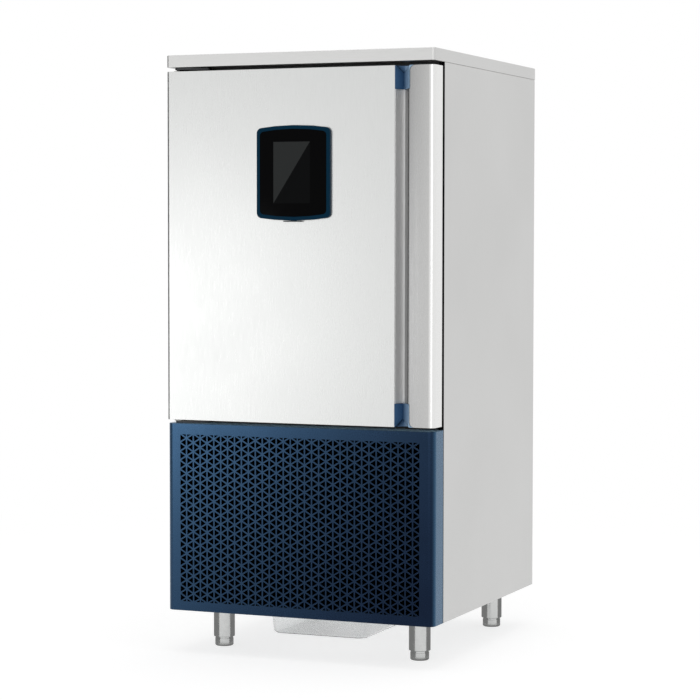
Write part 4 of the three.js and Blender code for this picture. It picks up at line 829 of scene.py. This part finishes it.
def finned_coil(node):
    """Thin fins all along X between two end plates, and the tubes that run through them."""
    low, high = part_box(node)
    bm = bmesh.new()
    add_block(bm, low, (low.x + FIN_END_SHEET, high.y, high.z))
    add_block(bm, (high.x - FIN_END_SHEET, low.y, low.z), high)
    inner = high.x - low.x - 2 * FIN_END_SHEET
    count = round(inner / FIN_PITCH)
    pitch = inner / count
    for fin in range(1, count):
        x = low.x + FIN_END_SHEET + fin * pitch
        add_block(bm, (x - FIN_SHEET / 2, low.y, low.z), (x + FIN_SHEET / 2, high.y, high.z))
    piece = mesh_object(f"{node}_fins", bm)
    finished(piece, "aluminium_fins", body_of(node), [node])

    bm = bmesh.new()
    rows = int((high.y - low.y) / COIL_TUBE_SPACING)
    levels = int((high.z - low.z) / COIL_TUBE_SPACING)
    ring = [2 * math.pi * i / COIL_TUBE_SIDES for i in range(COIL_TUBE_SIDES)]
    for row in range(rows):
        y = low.y + (row + 0.5) * (high.y - low.y) / rows
        stagger = 0.25 if row % 2 else 0.75
        for level in range(levels):
            z = low.z + (level + stagger) * (high.z - low.z) / levels
            loops = [
                [bm.verts.new((x, y + COIL_TUBE_RADIUS * math.cos(a), z + COIL_TUBE_RADIUS * math.sin(a)))
                 for a in ring]
                for x in (low.x + COIL_TUBE_END_GAP, high.x - COIL_TUBE_END_GAP)]
            for i in range(COIL_TUBE_SIDES):
                j = (i + 1) % COIL_TUBE_SIDES
                bm.faces.new((loops[0][i], loops[0][j], loops[1][j], loops[1][i]))
            bm.faces.new(loops[0])
            bm.faces.new(loops[1])
    piece = mesh_object(f"{node}_tubes", bm)
    finished(piece, "copper_tube", body_of(node))


finned_coil("evaporator_coil")
finned_coil("condenser_coil")

# ---- Strips that close the door's upper and lower edges behind the end caps ----


def edge_strip(name, bottom, top):
    """A strip of sheet that fills the plan between skin, end cap, grip and inner panel."""
    cap_low, cap_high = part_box("handle_cap_top")
    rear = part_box("door_inner_panel")[0].y - STRIP_GAP
    right = cap_high.x + STRIP_PAST_CAP
    left_middle = Vector((cap_low.x + CAP_LEFT_RADIUS, cap_high.y - CAP_LEFT_RADIUS))
    right_middle = Vector((cap_high.x - CAP_RIGHT_RADIUS, cap_high.y - CAP_RIGHT_RADIUS))
    outline = [Vector((cap_low.x, rear)), Vector((right, rear)), Vector((right, right_middle.y))]
    outline += arc(right_middle, CAP_RIGHT_RADIUS + STRIP_GAP, 0, math.pi / 2, 6)
    outline += arc(
        left_middle, CAP_LEFT_RADIUS + STRIP_GAP, math.pi / 2, math.radians(CAP_LEFT_ARC_END), 10)
    bm = bmesh.new()
    lower = [bm.verts.new((*p, bottom)) for p in outline]
    upper = [bm.verts.new((*p, top)) for p in outline]
    bm.faces.new(lower)
    bm.faces.new(upper)
    for i in range(len(outline)):
        j = (i + 1) % len(outline)
        bm.faces.new((lower[i], lower[j], upper[j], upper[i]))
    piece = mesh_object(name, bm)
    finished(piece, "door_steel", body_of("door_skin"))


door_low, door_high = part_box("door_skin")
strip_top = door_high.z - STRIP_SINK
strip_bottom = door_low.z + STRIP_SINK
edge_strip("door_upper_edge_strip", strip_top - STRIP_SHEET, strip_top)
edge_strip("door_lower_edge_strip", strip_bottom, strip_bottom + STRIP_SHEET)

# ---- Nodes whose own shape is right: softened corners and a finer material ----

# Folded and moulded pieces: each node's look, and how far its corners are rounded.
SOFTENED = {
    "top_panel": ("top_steel", 0.5 * MM),
    "right_side_panel": ("side_steel", 0.4 * MM),
    "left_side_panel": ("side_steel", 0.4 * MM),
    "rear_panel": ("rear_steel", 0.4 * MM),
    "rear_grille": ("rear_steel", 0.3 * MM),
    "base_plate": ("galvanised_steel", 0.5 * MM),
    # Painted shade: the front frame is given dark plastic, for the dark gaps round the door.
    "front_frame": ("dark_plastic", 0.4 * MM),
    "chamber_liner": ("satin_steel", 0.3 * MM),
    "door_skin": ("door_steel", 0.5 * MM),
    "door_inner_panel": ("satin_steel", 0.4 * MM),
    "handle_grip": ("grip_steel", 0.4 * MM),
    "handle_channel": ("channel_steel", 0.4 * MM),
    "handle_cap_top": ("cap_plastic", 0.4 * MM),
    "handle_cap_bottom": ("cap_plastic", 0.4 * MM),
    "display_bezel": ("bezel_blue", 0.6 * MM),
    "display_glass": ("display_glass_black", 0.3 * MM),
    "display_module": ("dark_plastic", 1 * MM),
    "port_cover": ("flap_blue", 0.3 * MM),
    "door_gasket": ("grey_rubber", 1 * MM),
    "hinge_bracket_top": ("bracket_steel", 0.5 * MM),
    "hinge_bracket_bottom": ("bracket_steel", 0.5 * MM),
    "drip_tray_runner_left": ("galvanised_steel", 0.3 * MM),
    "drip_tray_runner_right": ("galvanised_steel", 0.3 * MM),
    "tray_rack_left": ("satin_steel", 0.3 * MM),
    "tray_rack_right": ("satin_steel", 0.3 * MM),
    "fan_panel": ("satin_steel", 0.3 * MM),
    "condenser_shroud": ("galvanised_steel", 0.4 * MM),
    "control_box": ("galvanised_steel", 1 * MM),
}
for node_name, (look_name, edge_width) in SOFTENED.items():
    softened(node_name, look_name, edge_width)

# Pressed, cast and drawn pieces, whose facets stand for round forms.
ROUND_FORMS = {
    "compressor": ("black_paint", 2 * MM),
    "liquid_receiver": ("black_paint", 1.2 * MM),
    "evaporator_fan_motor_upper": ("black_paint", 0.8 * MM),
    "evaporator_fan_motor_lower": ("black_paint", 0.8 * MM),
    "condenser_fan_motor": ("black_paint", 0.8 * MM),
    "evaporator_fan_rotor_upper": ("black_paint", 0.3 * MM),
    "evaporator_fan_rotor_lower": ("black_paint", 0.3 * MM),
    "condenser_fan_rotor": ("black_paint", 0.3 * MM),
    "filter_drier": ("copper_tube", 0),
    "discharge_pipe": ("copper_tube", 0),
    "condenser_outlet_pipe": ("copper_tube", 0),
    "liquid_pipe": ("copper_tube", 0),
    "suction_pipe": ("copper_tube", 0),
    "drain_pipe": ("white_nylon", 0),
    "mains_gland": ("dark_plastic", 0.4 * MM),
    "probe_gland": ("white_nylon", 0.4 * MM),
    "hinge_bush_top": ("white_nylon", 0.3 * MM),
    "hinge_bush_bottom": ("white_nylon", 0.3 * MM),
}
for node_name, (look_name, edge_width) in ROUND_FORMS.items():
    softened(node_name, look_name, edge_width, smooth_angle=50, corner_angle=50)

# Sheet covers the foam cores, which keep their own shape.
for node_name in ("insulation", "door_core"):
    core = nodes[node_name]
    core.data.materials.clear()
    core.data.materials.append(LOOKS["insulation_foam"])

# ---- Floor, light and camera ----


def seen_share(tree):
    """1 for rays from the camera and for reflected or refracted ones, and 0 for those that light."""
    path = tree.nodes.new("ShaderNodeLightPath")
    total = None
    for name in ("Is Camera Ray", "Is Glossy Ray", "Is Transmission Ray"):
        if total is None:
            total = path.outputs[name]
            continue
        node = tree.nodes.new("ShaderNodeMath")
        node.operation = "MAXIMUM"
        tree.links.new(total, node.inputs[0])
        tree.links.new(path.outputs[name], node.inputs[1])
        total = node.outputs["Value"]
    return total


def mixed(tree, factor, first, second):
    """The first shader where factor is 0, and the second where it is 1."""
    node = tree.nodes.new("ShaderNodeMixShader")
    for source, socket in zip((factor, first, second), node.inputs):
        tree.links.new(source, socket)
    return node.outputs["Shader"]


def emission(tree, tone):
    node = tree.nodes.new("ShaderNodeEmission")
    node.inputs["Color"].default_value = (1, 1, 1, 1)
    node.inputs["Strength"].default_value = tone
    return node.outputs["Emission"]


def diffuse(tree, tone):
    node = tree.nodes.new("ShaderNodeBsdfDiffuse")
    node.inputs["Color"].default_value = (tone, tone, tone, 1)
    return node.outputs["BSDF"]


def bare_material(name):
    """A material without a shader, and its node tree."""
    material = bpy.data.materials.new(name)
    material.use_nodes = True
    material.node_tree.nodes.clear()
    return material, material.node_tree


def rectangle(width, depth):
    """A flat face about the origin."""
    bm = bmesh.new()
    corners = [(-1, -1), (1, -1), (1, 1), (-1, 1)]
    bm.faces.new([bm.verts.new((x * width / 2, y * depth / 2, 0)) for x, y in corners])
    return bm


def stage_piece(name, bm, material):
    """A piece of the studio, which isn't part of the object."""
    mesh = bpy.data.meshes.new(name)
    bm.to_mesh(mesh)
    bm.free()
    mesh.materials.append(material)
    made = linked(name, mesh)
    return made


def aim(made, place, target):
    """Puts a lamp or card at place, and turns its face to target."""
    made.location = place
    made.rotation_euler = (Vector(target) - Vector(place)).to_track_quat("-Z", "Y").to_euler()


def world_light():
    """An even world that lights the object softly, and that is white wherever it is seen."""
    world = bpy.data.worlds.new("studio")
    bpy.context.scene.world = world
    world.use_nodes = True
    tree = world.node_tree
    tree.nodes.clear()
    skies = []
    for strength in (WORLD_LIGHT, 1.0):
        background = tree.nodes.new("ShaderNodeBackground")
        background.inputs["Color"].default_value = (1, 1, 1, 1)
        background.inputs["Strength"].default_value = strength
        skies.append(background.outputs["Background"])
    output = tree.nodes.new("ShaderNodeOutputWorld")
    tree.links.new(mixed(tree, seen_share(tree), *skies), output.inputs["Surface"])


def studio_floor():
    """A pale floor that keeps the shadow near the object and is white further out."""
    material, tree = bare_material("floor_white")
    place = tree.nodes.new("ShaderNodeTexCoord")
    length = tree.nodes.new("ShaderNodeVectorMath")
    length.operation = "LENGTH"
    tree.links.new(place.outputs["Object"], length.inputs[0])
    fade = tree.nodes.new("ShaderNodeMapRange")
    fade.interpolation_type = "SMOOTHSTEP"
    fade.inputs["From Min"].default_value = FLOOR_NEAR
    fade.inputs["From Max"].default_value = FLOOR_FAR
    tree.links.new(length.outputs["Value"], fade.inputs["Value"])
    lifted = tree.nodes.new("ShaderNodeAddShader")
    tree.links.new(diffuse(tree, FLOOR_SHADED_TONE), lifted.inputs[0])
    tree.links.new(emission(tree, FLOOR_GLOW), lifted.inputs[1])
    seen = mixed(tree, fade.outputs["Result"], lifted.outputs["Shader"], emission(tree, 1.0))
    output = tree.nodes.new("ShaderNodeOutputMaterial")
    shader = mixed(tree, seen_share(tree), diffuse(tree, FLOOR_LIGHTING_TONE), seen)
    tree.links.new(shader, output.inputs["Surface"])
    stage_piece("floor", rectangle(FLOOR_SIZE, FLOOR_SIZE), material)


def softbox(name, place, target, width, height, radiance):
    """A rectangular lamp whose face has the given radiance."""
    lamp = bpy.data.lights.new(name, "AREA")
    lamp.shape = "RECTANGLE"
    lamp.size = width
    lamp.size_y = height
    lamp.energy = radiance * math.pi * width * height
    aim(linked(name, lamp), place, target)


def card(name, bm, tone):
    """A card that only reflections see, of an even tone. It gives polished metal its dark bands."""
    material, tree = bare_material(f"{name}_grey")
    output = tree.nodes.new("ShaderNodeOutputMaterial")
    tree.links.new(emission(tree, tone), output.inputs["Surface"])
    made = stage_piece(name, bm, material)
    made.visible_camera = False
    made.visible_diffuse = False
    made.visible_shadow = False
    made.visible_transmission = False
    return made


def flat_card(name, place, target, width, height, tone):
    """A flat card that faces target."""
    aim(card(name, rectangle(width, height), tone), place, target)


def foot_cards():
    """Bent cards round each foot, where its polish mirrors them as dark bands, and a disc under it."""
    for end in ("front", "rear"):
        for side in ("left", "right"):
            low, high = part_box(f"foot_sleeve_{end}_{side}")
            middle = (low + high) / 2
            for number, (first, last) in enumerate(CARD_ARCS):
                bm = bmesh.new()
                pairs = []
                for step in range(CARD_STEPS + 1):
                    turn = math.radians(first + (last - first) * step / CARD_STEPS)
                    x = middle.x + CARD_RADIUS * math.sin(turn)
                    y = middle.y - CARD_RADIUS * math.cos(turn)
                    pairs.append([bm.verts.new((x, y, z)) for z in (CARD_BOTTOM, CARD_TOP)])
                for (a, b), (c, d) in zip(pairs, pairs[1:]):
                    bm.faces.new((a, c, d, b))
                card(f"foot_card_{end}_{side}_{number}", bm, CARD_TONE)
            bm = bmesh.new()
            bmesh.ops.create_circle(bm, cap_ends=True, segments=CARD_DISC_SIDES, radius=CARD_RADIUS)
            bmesh.ops.translate(bm, verts=bm.verts, vec=(middle.x, middle.y, CARD_DISC_HEIGHT))
            card(f"foot_card_{end}_{side}_floor", bm, CARD_TONE)


def camera():
    """A camera at the photograph's place, with its slight roll."""
    data = bpy.data.cameras.new("camera")
    data.lens = CAMERA_LENS
    data.sensor_width = CAMERA_SENSOR
    data.clip_end = CAMERA_REACH
    holder = linked("camera", data)
    holder.location = CAMERA_PLACE
    ahead = (CAMERA_TARGET - CAMERA_PLACE).to_track_quat("-Z", "Y")
    holder.rotation_euler = (ahead @ Quaternion(UP, CAMERA_ROLL)).to_euler()
    bpy.context.scene.camera = holder


world_light()
studio_floor()
for lamp_name, setting in SOFTBOXES.items():
    softbox(lamp_name, *setting)
flat_card("flag_left", *LEFT_FLAG)
foot_cards()
camera()
bpy.context.scene.view_settings.view_transform = "Standard"
